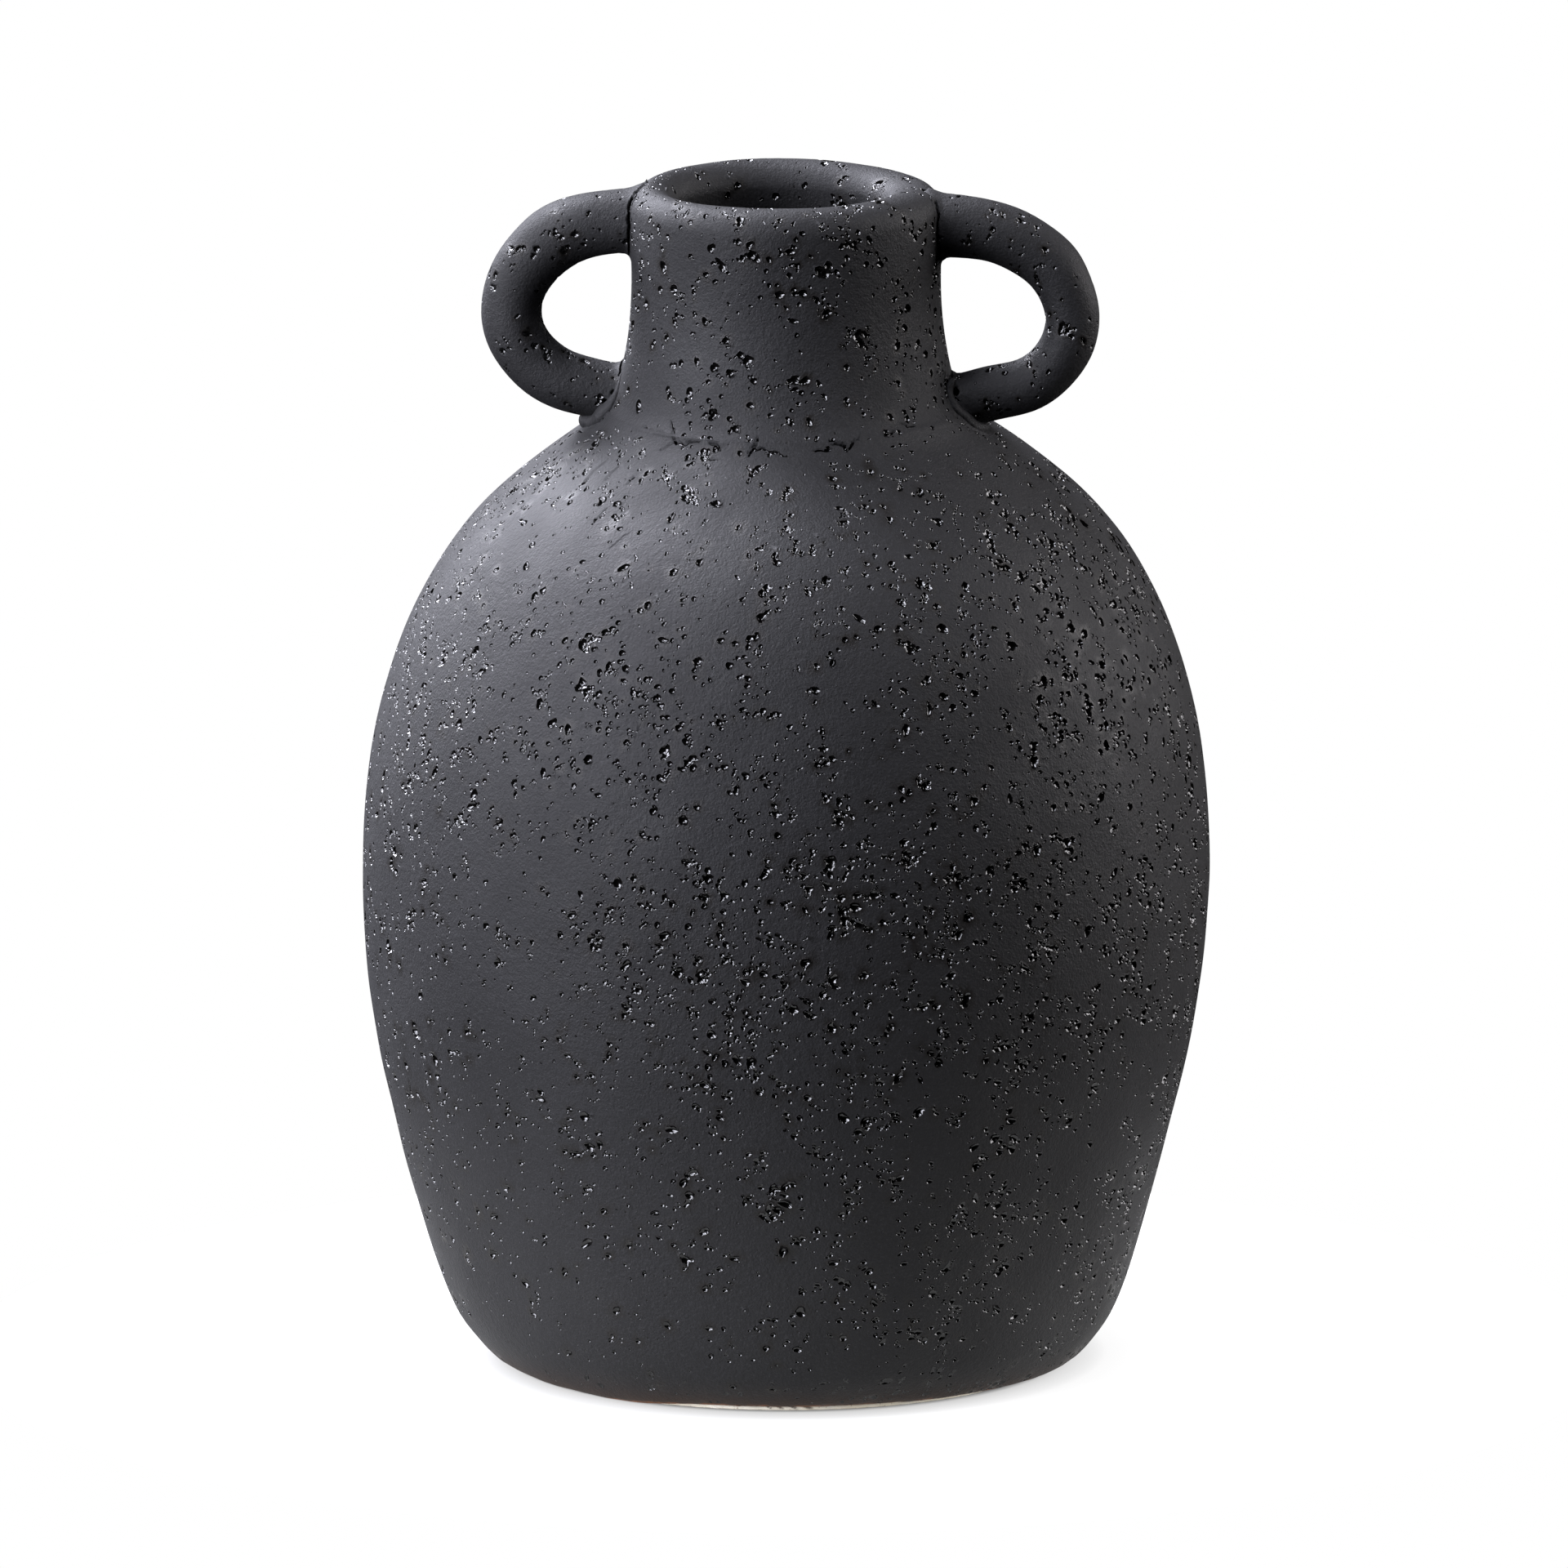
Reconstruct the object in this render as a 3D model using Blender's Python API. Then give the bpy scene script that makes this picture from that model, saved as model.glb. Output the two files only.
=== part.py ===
"""Two-handled stoneware bottle vase.

Built the way a potter builds it: a bare clay base slab, a thrown body whose wall stands around the
slab, a separately thrown neck luted onto the shoulder, two rolled-coil handles, and a small coil of
clay wadded round the lower root of each handle.

Metres, +Z up. The origin is the centre of the base, and the handles lie along X.
"""

import math

import bmesh
import bpy
from mathutils import Vector

MM = 0.001
GAP = 0.3 * MM  # joint line left between two pieces of clay that touch
ROUND_STEPS = 56  # facets round the vase

# Base slab
SLAB_RADIUS = 46.2 * MM
SLAB_THICK = 7.0 * MM
SLAB_EDGE = 0.8 * MM

# Body: the thrown profile as (radius, height), from the foot to the seat of the neck
BODY_PROFILE_MM = [
    (48.6, 1.0),
    (51.9, 3.0),
    (56.6, 10.0),
    (60.2, 20.0),
    (65.8, 40.0),
    (70.0, 60.0),
    (72.0, 85.0),
    (69.8, 110.0),
    (63.6, 130.0),
    (54.0, 145.0),
    (42.6, 155.0),
    (31.3, 163.7),
]
BODY_WALL = 5.6 * MM
SEAT_HEIGHT = 163.7 * MM  # flat ring on the shoulder that carries the neck
BORE_RADIUS = 20.6 * MM  # way through the shoulder and the neck

# Neck: the outside as (radius, height), from the seat to where the lip starts to turn over
NECK_PROFILE_MM = [
    (31.6, 164.0),
    (29.1, 167.5),
    (27.5, 172.5),
    (26.5, 180.0),
    (26.3, 187.0),
    (26.5, 193.0),
    (26.6, 198.6),
]
TOP = 203.0 * MM
LIP_CENTRE_RADIUS = 22.2 * MM
LIP_ROUND = 4.4 * MM

# Handles: (name, side, loop centre x, loop radius, coil radius at the crown, coil radius at the foot)
LOOP_HEIGHT = 181.5 * MM
HANDLES = [
    ("left_handle", -1, 33.2 * MM, 13.6 * MM, 5.5 * MM, 5.1 * MM),
    ("right_handle", +1, 34.6 * MM, 14.0 * MM, 5.3 * MM, 4.8 * MM),
]
CROWN_ROOT = (22.0 * MM, 196.4 * MM)  # where the coil's centre line ends inside the neck, at the top
FOOT_ROOT = (22.0 * MM, 165.4 * MM)  # and at the bottom
ROOT_SWELL = 0.6 * MM  # the coil is pressed wider where it meets the neck

# Wads round the lower roots
WAD_RADIUS = 2.0 * MM


# ---------------------------------------------------------------- helpers

def clear_scene():
    for obj in list(bpy.data.objects):
        bpy.data.objects.remove(obj, do_unlink=True)


def make_material(name, colour, roughness, metallic=0.0):
    material = bpy.data.materials.new(name)
    material.use_nodes = True
    shader = material.node_tree.nodes["Principled BSDF"]
    shader.inputs["Base Color"].default_value = (*colour, 1.0)
    shader.inputs["Roughness"].default_value = roughness
    shader.inputs["Metallic"].default_value = metallic
    material.diffuse_color = (*colour, 1.0)
    return material


def smooth_through(points, per_span):
    """A Catmull-Rom curve through the points, with per_span steps between each two."""
    points = [Vector(p) for p in points]
    ends = [2 * points[0] - points[1]] + points + [2 * points[-1] - points[-2]]
    curve = []
    for i in range(1, len(ends) - 2):
        a, b, c, d = ends[i - 1 : i + 3]
        for step in range(per_span):
            t = step / per_span
            curve.append(
                0.5
                * (
                    2 * b
                    + (c - a) * t
                    + (2 * a - 5 * b + 4 * c - d) * t * t
                    + (3 * b - 3 * c + d - a) * t**3
                )
            )
    curve.append(points[-1])
    return curve


def offset_inward(curve, distance):
    """The curve moved towards the axis along its own normals: (radius, height) points going up."""
    moved = []
    for i, point in enumerate(curve):
        along = curve[min(i + 1, len(curve) - 1)] - curve[max(i - 1, 0)]
        along.normalize()
        moved.append(point + distance * Vector((-along.y, along.x)))
    return moved


def link(name, bm, material, smooth=True):
    bmesh.ops.recalc_face_normals(bm, faces=bm.faces)
    if bm.calc_volume(signed=True) < 0:
        bmesh.ops.reverse_faces(bm, faces=bm.faces)
    mesh = bpy.data.meshes.new(name)
    bm.to_mesh(mesh)
    bm.free()
    for face in mesh.polygons:
        face.use_smooth = smooth
    if material:
        mesh.materials.append(material)
    obj = bpy.data.objects.new(name, mesh)
    bpy.context.scene.collection.objects.link(obj)
    return obj


def spin_profile(name, profile, material, closed=True):
    """Turns a (radius, height) profile round Z. An open profile starts and ends on the axis."""
    bm = bmesh.new()
    verts = [bm.verts.new((r, 0.0, z)) for r, z in profile]
    edges = [bm.edges.new(pair) for pair in zip(verts, verts[1:])]
    if closed:
        edges.append(bm.edges.new((verts[-1], verts[0])))
    bmesh.ops.spin(
        bm,
        geom=verts + edges,
        cent=(0, 0, 0),
        axis=(0, 0, 1),
        angle=2 * math.pi,
        steps=ROUND_STEPS,
        use_merge=True,
    )
    bmesh.ops.remove_doubles(bm, verts=bm.verts, dist=1e-6)
    return link(name, bm, material)


def sweep_coil(name, path, radii, sides, material):
    """A round coil along a path of points, closed by a flat cap at each end."""
    bm = bmesh.new()
    rings = []
    for i, centre in enumerate(path):
        along = (path[min(i + 1, len(path) - 1)] - path[max(i - 1, 0)]).normalized()
        across = Vector((0, 1, 0))
        if abs(along.dot(across)) > 0.9:
            across = Vector((0, 0, 1))
        first = along.cross(across).normalized()
        if rings:
            # keep each ring in step with the last one, so the coil doesn't twist
            first = (held - held.dot(along) * along).normalized()
        held = first
        second = along.cross(first)
        ring = []
        for k in range(sides):
            turn = 2 * math.pi * k / sides
            ring.append(
                bm.verts.new(
                    centre + radii[i] * (math.cos(turn) * first + math.sin(turn) * second)
                )
            )
        rings.append(ring)
    for low, high in zip(rings, rings[1:]):
        for k in range(sides):
            n = (k + 1) % sides
            bm.faces.new((low[k], low[n], high[n], high[k]))
    bm.faces.new(rings[0][::-1])
    bm.faces.new(rings[-1])
    return link(name, bm, material)


def as_cutter(obj):
    obj.hide_render = True
    obj.display_type = "WIRE"
    return obj


def cut(obj, cutter):
    modifier = obj.modifiers.new("cut_" + cutter.name, "BOOLEAN")
    modifier.operation = "DIFFERENCE"
    modifier.solver = "EXACT"
    modifier.object = cutter


# ---------------------------------------------------------------- turned pieces

def build_slab(material):
    profile = [
        (0.0, 0.0),
        (SLAB_RADIUS - SLAB_EDGE, 0.0),
        (SLAB_RADIUS - 0.3 * SLAB_EDGE, 0.3 * SLAB_EDGE),
        (SLAB_RADIUS, SLAB_EDGE),
        (SLAB_RADIUS, SLAB_THICK),
        (0.0, SLAB_THICK),
    ]
    return spin_profile("base_slab", profile, material, closed=False)


def body_outside():
    return smooth_through([(r * MM, z * MM) for r, z in BODY_PROFILE_MM], 2)


def build_body(material):
    outside = body_outside()
    # The cavity follows the outside at the wall's thickness, with a filled corner over the slab
    inside = [
        p
        for p in offset_inward(outside, BODY_WALL)
        if p.y > SLAB_THICK + 7 * MM and p.x > BORE_RADIUS + 8 * MM
    ]
    rebate = SLAB_RADIUS + GAP
    profile = list(outside)
    profile += [
        Vector((BORE_RADIUS, SEAT_HEIGHT)),
        Vector((BORE_RADIUS, SEAT_HEIGHT - 4.5 * MM)),
        Vector((BORE_RADIUS + 1.5 * MM, SEAT_HEIGHT - 6.0 * MM)),
    ]
    profile += inside[::-1]
    profile += [
        Vector((rebate + 3.2 * MM, SLAB_THICK + 3.4 * MM)),
        Vector((rebate, SLAB_THICK + 0.6 * MM)),
        Vector((rebate, 1.0 * MM)),
    ]
    return spin_profile("body", profile, material)


def neck_outside():
    return smooth_through([(r * MM, z * MM) for r, z in NECK_PROFILE_MM], 2)


def lip_turn(steps):
    """The lip's half round, from the outside of the neck over the top to the inside."""
    centre = TOP - LIP_ROUND
    return [
        Vector(
            (
                LIP_CENTRE_RADIUS + LIP_ROUND * math.cos(math.pi * k / steps),
                centre + LIP_ROUND * math.sin(math.pi * k / steps),
            )
        )
        for k in range(1, steps + 1)
    ]


def build_neck(material):
    seat = SEAT_HEIGHT + GAP
    profile = list(neck_outside()) + lip_turn(8)
    profile += [
        Vector((BORE_RADIUS - 1.9 * MM, TOP - 9.5 * MM)),
        Vector((BORE_RADIUS - 0.6 * MM, TOP - 15.0 * MM)),
        Vector((BORE_RADIUS, TOP - 22.0 * MM)),
        Vector((BORE_RADIUS, seat)),
    ]
    return spin_profile("neck", profile, material)


def build_turned_cutter():
    """The body and neck together, a joint line larger all round, to trim what is stuck onto them."""
    foot_of_neck = Vector((NECK_PROFILE_MM[0][0] * MM + 1.2 * GAP, SEAT_HEIGHT + 1.2 * GAP))
    body = [
        p
        for p in offset_inward(body_outside(), -GAP)
        if p.y > 120 * MM and p.x > foot_of_neck.x + GAP
    ]
    neck = [p for p in offset_inward(neck_outside(), -GAP) if p.y > SEAT_HEIGHT + 1.5 * MM]
    lip = [
        Vector((p.x + (p.x - LIP_CENTRE_RADIUS) / LIP_ROUND * GAP, p.y + GAP))
        for p in lip_turn(8)[:4]
    ]
    profile = [Vector((0, body[0].y))] + body + [foot_of_neck] + neck + lip + [Vector((0, TOP + GAP))]
    return as_cutter(spin_profile("vase_cutter", profile, None, closed=False))


# ---------------------------------------------------------------- handles

def handle_path(side, loop_x, loop_r):
    """A D-shaped loop in the XZ plane: out of the neck below the lip, round, and back at its foot."""
    points = [(CROWN_ROOT[0], CROWN_ROOT[1]), (0.5 * (CROWN_ROOT[0] + loop_x), LOOP_HEIGHT + loop_r + 0.9 * MM)]
    arc = 9
    for k in range(arc + 1):
        turn = math.pi / 2 - math.pi * k / arc
        points.append((loop_x + loop_r * math.cos(turn), LOOP_HEIGHT + loop_r * math.sin(turn)))
    points += [(0.5 * (FOOT_ROOT[0] + loop_x), LOOP_HEIGHT - loop_r - 1.0 * MM), FOOT_ROOT]
    return smooth_through([(side * x, 0.0, z) for x, z in points], 2)


def coil_radii(path, crown, foot, swell):
    """Crown radius easing to the foot radius, swollen over the last stretch at each root."""
    length = [0.0]
    for a, b in zip(path, path[1:]):
        length.append(length[-1] + (b - a).length)
    radii = []
    for s in length:
        near_root = min(s, length[-1] - s)
        pressed = max(0.0, 1.0 - near_root / (9 * MM)) ** 2
        radii.append(crown + (foot - crown) * s / length[-1] + swell * pressed)
    return radii


def build_handle(name, side, loop_x, loop_r, crown, foot, material, grow=0.0):
    path = handle_path(side, loop_x, loop_r)
    radii = [r + grow for r in coil_radii(path, crown, foot, ROOT_SWELL)]
    return sweep_coil(name, path, radii, 20, material)


def build_wad(name, side, loop_x, material):
    """A crescent of clay pressed into the corner under the handle's lower root, open at the top."""
    reach = loop_x - 33.2 * MM
    half = [
        (27.4 * MM, 7.3 * MM, 170.8 * MM),
        (28.8 * MM, 7.7 * MM, 166.6 * MM),
        (31.3 * MM + 0.5 * reach, 6.5 * MM, 163.2 * MM),
        (33.4 * MM + reach, 3.6 * MM, 161.6 * MM),
    ]
    middle = [(34.2 * MM + reach, 0.0, 161.0 * MM)]
    points = [(x, -y, z) for x, y, z in half] + middle + [(x, y, z) for x, y, z in half[::-1]]
    path = smooth_through([(side * x, y, z) for x, y, z in points], 2)
    count = len(path) - 1
    radii = [WAD_RADIUS * (0.55 + 0.45 * math.sin(math.pi * i / count)) for i in range(count + 1)]
    return sweep_coil(name, path, radii, 12, material)


def main():
    clear_scene()
    glaze = make_material("black_glaze", (0.045, 0.045, 0.049), 0.55)
    clay = make_material("bare_clay", (0.68, 0.60, 0.47), 0.85)

    vase = bpy.data.objects.new("vase", None)
    bpy.context.scene.collection.objects.link(vase)

    pieces = [build_slab(clay), build_body(glaze), build_neck(glaze)]
    vase_cutter = build_turned_cutter()

    for name, side, loop_x, loop_r, crown, foot in HANDLES:
        handle = build_handle(name, side, loop_x, loop_r, crown, foot, glaze)
        cut(handle, vase_cutter)
        handle_cutter = as_cutter(
            build_handle(name + "_cutter", side, loop_x, loop_r, crown, foot, None, grow=GAP)
        )
        wad = build_wad(name.replace("handle", "root_wad"), side, loop_x, glaze)
        cut(wad, vase_cutter)
        cut(wad, handle_cutter)
        pieces += [handle, wad]

    for piece in pieces:
        piece.parent = vase


main()
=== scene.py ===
import math

import bpy
import numpy as np
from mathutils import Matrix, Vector
from mathutils.geometry import delaunay_2d_cdt
from mathutils.kdtree import KDTree


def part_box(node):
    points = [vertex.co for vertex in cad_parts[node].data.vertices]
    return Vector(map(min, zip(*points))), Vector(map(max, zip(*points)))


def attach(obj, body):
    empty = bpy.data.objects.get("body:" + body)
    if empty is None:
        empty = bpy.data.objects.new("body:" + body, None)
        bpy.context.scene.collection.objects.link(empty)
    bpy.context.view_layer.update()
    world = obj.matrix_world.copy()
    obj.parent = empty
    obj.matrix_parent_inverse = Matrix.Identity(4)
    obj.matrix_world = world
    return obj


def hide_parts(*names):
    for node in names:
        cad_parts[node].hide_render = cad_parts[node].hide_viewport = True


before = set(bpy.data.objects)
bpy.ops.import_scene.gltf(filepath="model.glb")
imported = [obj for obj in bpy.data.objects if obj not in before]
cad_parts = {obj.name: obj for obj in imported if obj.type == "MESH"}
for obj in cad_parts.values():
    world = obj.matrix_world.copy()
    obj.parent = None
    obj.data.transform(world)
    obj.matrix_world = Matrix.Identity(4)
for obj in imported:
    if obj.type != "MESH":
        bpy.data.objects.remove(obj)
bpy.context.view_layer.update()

# The two-handled stoneware vase: every clay piece is rebuilt as a fine mesh whose burst glaze bubbles,
# luting cracks and hand-made unevenness are real geometry. Lengths below are millimetres until a mesh
# is written, in the CAD frame: +Z up, handles along X, the viewer in front at -Y.

MM = 0.001


def box_mm(node):
    low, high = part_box(node)
    return np.array(low) / MM, np.array(high) / MM


BODY_LOW, BODY_HIGH = box_mm("body")
NECK_LOW, NECK_HIGH = box_mm("neck")
SLAB_LOW, SLAB_HIGH = box_mm("base_slab")
SEAT = NECK_LOW[2]  # where the neck meets the shoulder
TOP = NECK_HIGH[2]
BELLY = BODY_HIGH[0]


# ------------------------------------------------------------------ small maths

def spline_through(points, per_span=40):
    """A natural cubic spline through 2-D points, as a dense polyline."""
    p = np.asarray(points, float)
    t = np.concatenate([[0], np.cumsum(np.linalg.norm(np.diff(p, axis=0), axis=1))])
    n, h = len(t), np.diff(t)
    a, rhs = np.zeros((n, n)), np.zeros((n, 2))
    a[0, 0] = a[-1, -1] = 1
    for i in range(1, n - 1):
        a[i, i - 1 : i + 2] = h[i - 1], 2 * (h[i - 1] + h[i]), h[i]
        rhs[i] = 6 * ((p[i + 1] - p[i]) / h[i] - (p[i] - p[i - 1]) / h[i - 1])
    m = np.linalg.solve(a, rhs)
    out = []
    for i in range(n - 1):
        x = np.linspace(0, h[i], per_span, endpoint=False)[:, None]
        out.append(
            m[i] * (h[i] - x) ** 3 / (6 * h[i])
            + m[i + 1] * x**3 / (6 * h[i])
            + (p[i] / h[i] - m[i] * h[i] / 6) * (h[i] - x)
            + (p[i + 1] / h[i] - m[i + 1] * h[i] / 6) * x
        )
    return np.concatenate(out + [p[-1:]])


def smoothstep(a, b, x):
    t = np.clip((x - a) / (b - a), 0, 1)
    return t * t * (3 - 2 * t)


class Waves:
    """A smooth random field in space, the sum of many plane waves of about one length: mean 0, spread 1."""

    def __init__(self, seed, length, count=24):
        rng = np.random.default_rng(seed)
        way = rng.normal(size=(count, 3))
        way /= np.linalg.norm(way, axis=1)[:, None]
        self.k = way * (2 * np.pi / (length * rng.uniform(0.7, 1.6, count)))[:, None]
        self.phase = rng.uniform(0, 2 * np.pi, count)

    def __call__(self, p):
        return np.sin(p @ self.k.T + self.phase).sum(1) * math.sqrt(2 / len(self.phase))


def polyline_distance(p, line):
    """Least distance from each point to a polyline, and how far along it, from 0 to 1."""
    line = np.asarray(line, float)
    lengths = np.linalg.norm(np.diff(line, axis=0), axis=1)
    start = np.concatenate([[0], np.cumsum(lengths)])
    best = np.full(len(p), np.inf)
    where = np.zeros(len(p))
    for i, (a, b) in enumerate(zip(line, line[1:])):
        d = b - a
        t = np.clip((p - a) @ d / (d @ d), 0, 1)
        dist = np.linalg.norm(p - a - t[:, None] * d, axis=1)
        nearer = dist < best
        best = np.where(nearer, dist, best)
        where = np.where(nearer, (start[i] + t * lengths[i]) / start[-1], where)
    return best, where


# ------------------------------------------------------------------ surfaces

class Turned:
    """A surface of revolution on coordinates (angle, v) in which a small circle stays a circle."""

    def __init__(self, profile):
        self.r, self.z = np.asarray(profile, float).T
        ds = np.hypot(np.diff(self.r), np.diff(self.z))
        self.s = np.concatenate([[0], np.cumsum(ds)])
        self.v = np.concatenate([[0], np.cumsum(ds * 2 / (self.r[1:] + self.r[:-1]))])
        tr, tz = np.gradient(self.r, self.s), np.gradient(self.z, self.s)
        size = np.hypot(tr, tz)
        self.tr, self.tz = tr / size, tz / size

    def at(self, ang, v):
        r, z = np.interp(v, self.v, self.r), np.interp(v, self.v, self.z)
        tr, tz = np.interp(v, self.v, self.tr), np.interp(v, self.v, self.tz)
        c, s = np.cos(ang), np.sin(ang)
        place = np.stack([r * c, r * s, z], 1)
        normal = np.stack([tz * c, tz * s, -tr], 1)
        along = np.stack([-s, c, 0 * c], 1)  # the way angle grows
        up = np.stack([tr * c, tr * s, tz], 1)  # the way v grows
        return place, normal, along, up

    def scale(self, v):
        return np.interp(v, self.v, self.r)

    def v_at_height(self, z, first=True):
        """v of the first (outer) or last (inner) crossing of a height."""
        hit = np.flatnonzero(np.diff(np.sign(self.z - z)))
        return self.v[hit[0 if first else -1]]


class Coil:
    """A round coil along a planar path, on coordinates (angle round it, distance along / mean radius)."""

    def __init__(self, path, radius, swell):
        path = np.asarray(path, float)
        step = np.linalg.norm(np.diff(path, axis=0), axis=1)
        self.s = np.concatenate([[0], np.cumsum(step)])
        self.path = path
        self.radius = np.asarray(radius, float)
        self.mean = float(self.radius.mean())
        t = np.gradient(path, self.s, axis=0)
        self.t = t / np.linalg.norm(t, axis=1)[:, None]
        self.swell = swell
        self.v = self.s / self.mean

    def frame(self, v):
        s = np.clip(v * self.mean, 0, self.s[-1])
        centre = np.stack([np.interp(s, self.s, self.path[:, k]) for k in range(3)], 1)
        t = np.stack([np.interp(s, self.s, self.t[:, k]) for k in range(3)], 1)
        t /= np.linalg.norm(t, axis=1)[:, None]
        side = np.tile([0.0, -1.0, 0.0], (len(s), 1))  # towards the viewer
        out = np.cross(t, side)
        return centre, t, side, out, np.interp(s, self.s, self.radius)

    def at(self, ang, v):
        centre, t, side, out, r = self.frame(v)
        way = np.cos(ang)[:, None] * side + np.sin(ang)[:, None] * out
        r = self.swell(centre, way, r)
        place = centre + r[:, None] * way
        along = -np.sin(ang)[:, None] * side + np.cos(ang)[:, None] * out
        return place, way, along, t

    def scale(self, v):
        return np.full(np.shape(v), self.mean)


# ------------------------------------------------------------------ glaze pits

class Pits:
    """Burst glaze bubbles on a surface: places, sizes and shapes."""

    def __init__(self, surface, rng, per_mm2, v_low, v_high, crowd, largest=0.95, clear_seam=0.03):
        v = np.linspace(v_low, v_high, 4000)
        r = surface.scale(v)
        weight = r * r
        area = 2 * np.pi * np.trapz(weight, v)
        n = int(area * per_mm2)
        share = np.cumsum(weight)
        pick = np.interp(rng.uniform(0, share[-1], n), share, v)
        ang = rng.uniform(-np.pi, np.pi, n)
        place, *_ = surface.at(ang, pick)
        keep = rng.uniform(size=n) < crowd(place)
        ang, pick = ang[keep], pick[keep]
        n = len(ang)
        a = 0.20 + rng.gamma(1.7, 0.108, n) + np.where(rng.uniform(size=n) < 0.03, rng.uniform(0.1, 0.4, n), 0)
        a = np.clip(a, 0.20, largest)
        # some burst in threes and fours
        parents = np.flatnonzero(rng.uniform(size=n) < 0.15)
        kids = np.repeat(parents, rng.integers(1, 4, len(parents)))
        turn = rng.uniform(0, 2 * np.pi, len(kids))
        far = (a[kids] * rng.uniform(0.9, 1.9, len(kids)) + 0.15) / surface.scale(pick[kids])
        ang = np.concatenate([ang, ang[kids] + far * np.cos(turn)])
        pick = np.concatenate([pick, pick[kids] + far * np.sin(turn)])
        a = np.concatenate([a, np.clip(a[kids] * rng.uniform(0.45, 1.0, len(kids)), 0.2, largest)])
        room = 2.2 * a / surface.scale(pick)
        ok = (
            (np.abs(ang) + room < np.pi - clear_seam)
            & (pick - room > v_low)
            & (pick + room < v_high)
        )
        self.ang, self.v, self.a = ang[ok], pick[ok], a[ok]
        n = len(self.a)
        self.long = 1 + np.abs(rng.normal(0, 0.22, n))
        self.turn = rng.uniform(0, np.pi, n)
        self.wobble = rng.uniform(0.02, 0.11, (n, 3))
        self.phase = rng.uniform(0, 2 * np.pi, (n, 3))
        self.depth = self.a * rng.uniform(0.5, 0.85, n)
        self.rim = self.a * np.clip(rng.normal(0.04, 0.045, n), 0, 0.13)
        self.stain = np.where(rng.uniform(size=n) < 0.10 + 0.5 * (self.a > 0.5), rng.uniform(0.4, 1.0, n), 0)
        self.place, self.normal, self.along, self.up = surface.at(self.ang, self.v)

    def outline(self, i, turn):
        w = 1.0
        for k, lobes in enumerate((2, 3, 5)):
            w = w + self.wobble[i, k] * np.cos(lobes * turn + self.phase[i, k])
        return w

    def ring_points(self, surface, rings):
        """(angle, v) points on rings round each pit. rings: (share of the radius, number of points for its size)."""
        out_a, out_v = [], []
        for low, high, plan in rings:
            chosen = np.flatnonzero((self.a >= low) & (self.a < high))
            for share, count in plan:
                if share == 0:
                    out_a.append(self.ang[chosen])
                    out_v.append(self.v[chosen])
                    continue
                turn = 2 * np.pi * (np.arange(count) + 0.5 * (count % 3)) / count
                i = np.repeat(chosen, count)
                th = np.tile(turn, len(chosen))
                rad = share * self.a[i] * self.outline(i, th)
                x, y = rad * np.cos(th) * self.long[i], rad * np.sin(th) / np.sqrt(self.long[i])
                c, s = np.cos(self.turn[i]), np.sin(self.turn[i])
                r = surface.scale(self.v[i])
                out_a.append(self.ang[i] + (c * x - s * y) / r)
                out_v.append(self.v[i] + (s * x + c * y) / r)
        return np.concatenate(out_a), np.concatenate(out_v)

    def press(self, place):
        """How far each surface point sinks or stands, whether it's in a pit, and how stained it is."""
        tree = KDTree(len(place))
        for i, p in enumerate(place.tolist()):
            tree.insert(p, i)
        tree.balance()
        pit, point = [], []
        for i, (p, reach) in enumerate(zip(self.place.tolist(), (self.a * self.long * 2.4).tolist())):
            near = [hit[1] for hit in tree.find_range(p, reach)]
            point += near
            pit += [i] * len(near)
        pit, point = np.array(pit, int), np.array(point, int)
        d = place[point] - self.place[pit]
        x, y = (d * self.along[pit]).sum(1), (d * self.up[pit]).sum(1)
        c, s = np.cos(self.turn[pit]), np.sin(self.turn[pit])
        x, y = (c * x + s * y) / self.long[pit], (c * y - s * x) * np.sqrt(self.long[pit])
        rho = np.hypot(x, y) / (self.a[pit] * self.outline(pit, np.arctan2(y, x)))
        bowl = -self.depth[pit] * np.clip(1 - rho**2, 0, 1) ** 0.85
        rim = self.rim[pit] * np.exp(-(((rho - 1.06) / 0.13) ** 2)) * (rho > 0.97)
        wet = (rho < 1.012).astype(float)
        stain = self.stain[pit] * (1 - smoothstep(0.95, 2.0, rho))
        sink, stand, inside, dark = (np.zeros(len(place)) for _ in range(4))
        np.minimum.at(sink, point, bowl)
        np.maximum.at(stand, point, rim)
        np.maximum.at(inside, point, wet)
        np.maximum.at(dark, point, stain)
        # a standing rim turns the skin beside it outwards
        tilt = np.zeros_like(place)
        away = d - (d * self.normal[pit]).sum(1)[:, None] * self.normal[pit]
        away /= np.linalg.norm(away, axis=1)[:, None] + 1e-9
        lean_out = (self.rim[pit] / self.a[pit]) / 0.2 * (rho > 0.97) * (1 - smoothstep(1.02, 1.25, rho))
        np.add.at(tilt, point, away * lean_out[:, None])
        return sink + stand * (sink > -1e-4), inside, dark, tilt


RINGS = [  # for pits of a size range: (share of the radius, number of points)
    (0.0, 0.26, [(1.32, 5), (1.0, 7), (0.55, 5), (0, 1)]),
    (0.26, 0.42, [(1.32, 7), (1.0, 10), (0.7, 8), (0.35, 5), (0, 1)]),
    (0.42, 9.0, [(1.3, 11), (1.0, 15), (0.84, 13), (0.58, 10), (0.28, 6), (0, 1)]),
]


# ------------------------------------------------------------------ meshes

def triangulated(ang, v):
    points = [Vector(p) for p in np.stack([ang, v], 1).tolist()]
    out = delaunay_2d_cdt(points, [], [], 0, 1e-9, False)
    at = np.array([tuple(p) for p in out[0]])
    faces = np.array(out[2], int)
    return at[:, 0], at[:, 1], faces


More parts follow.
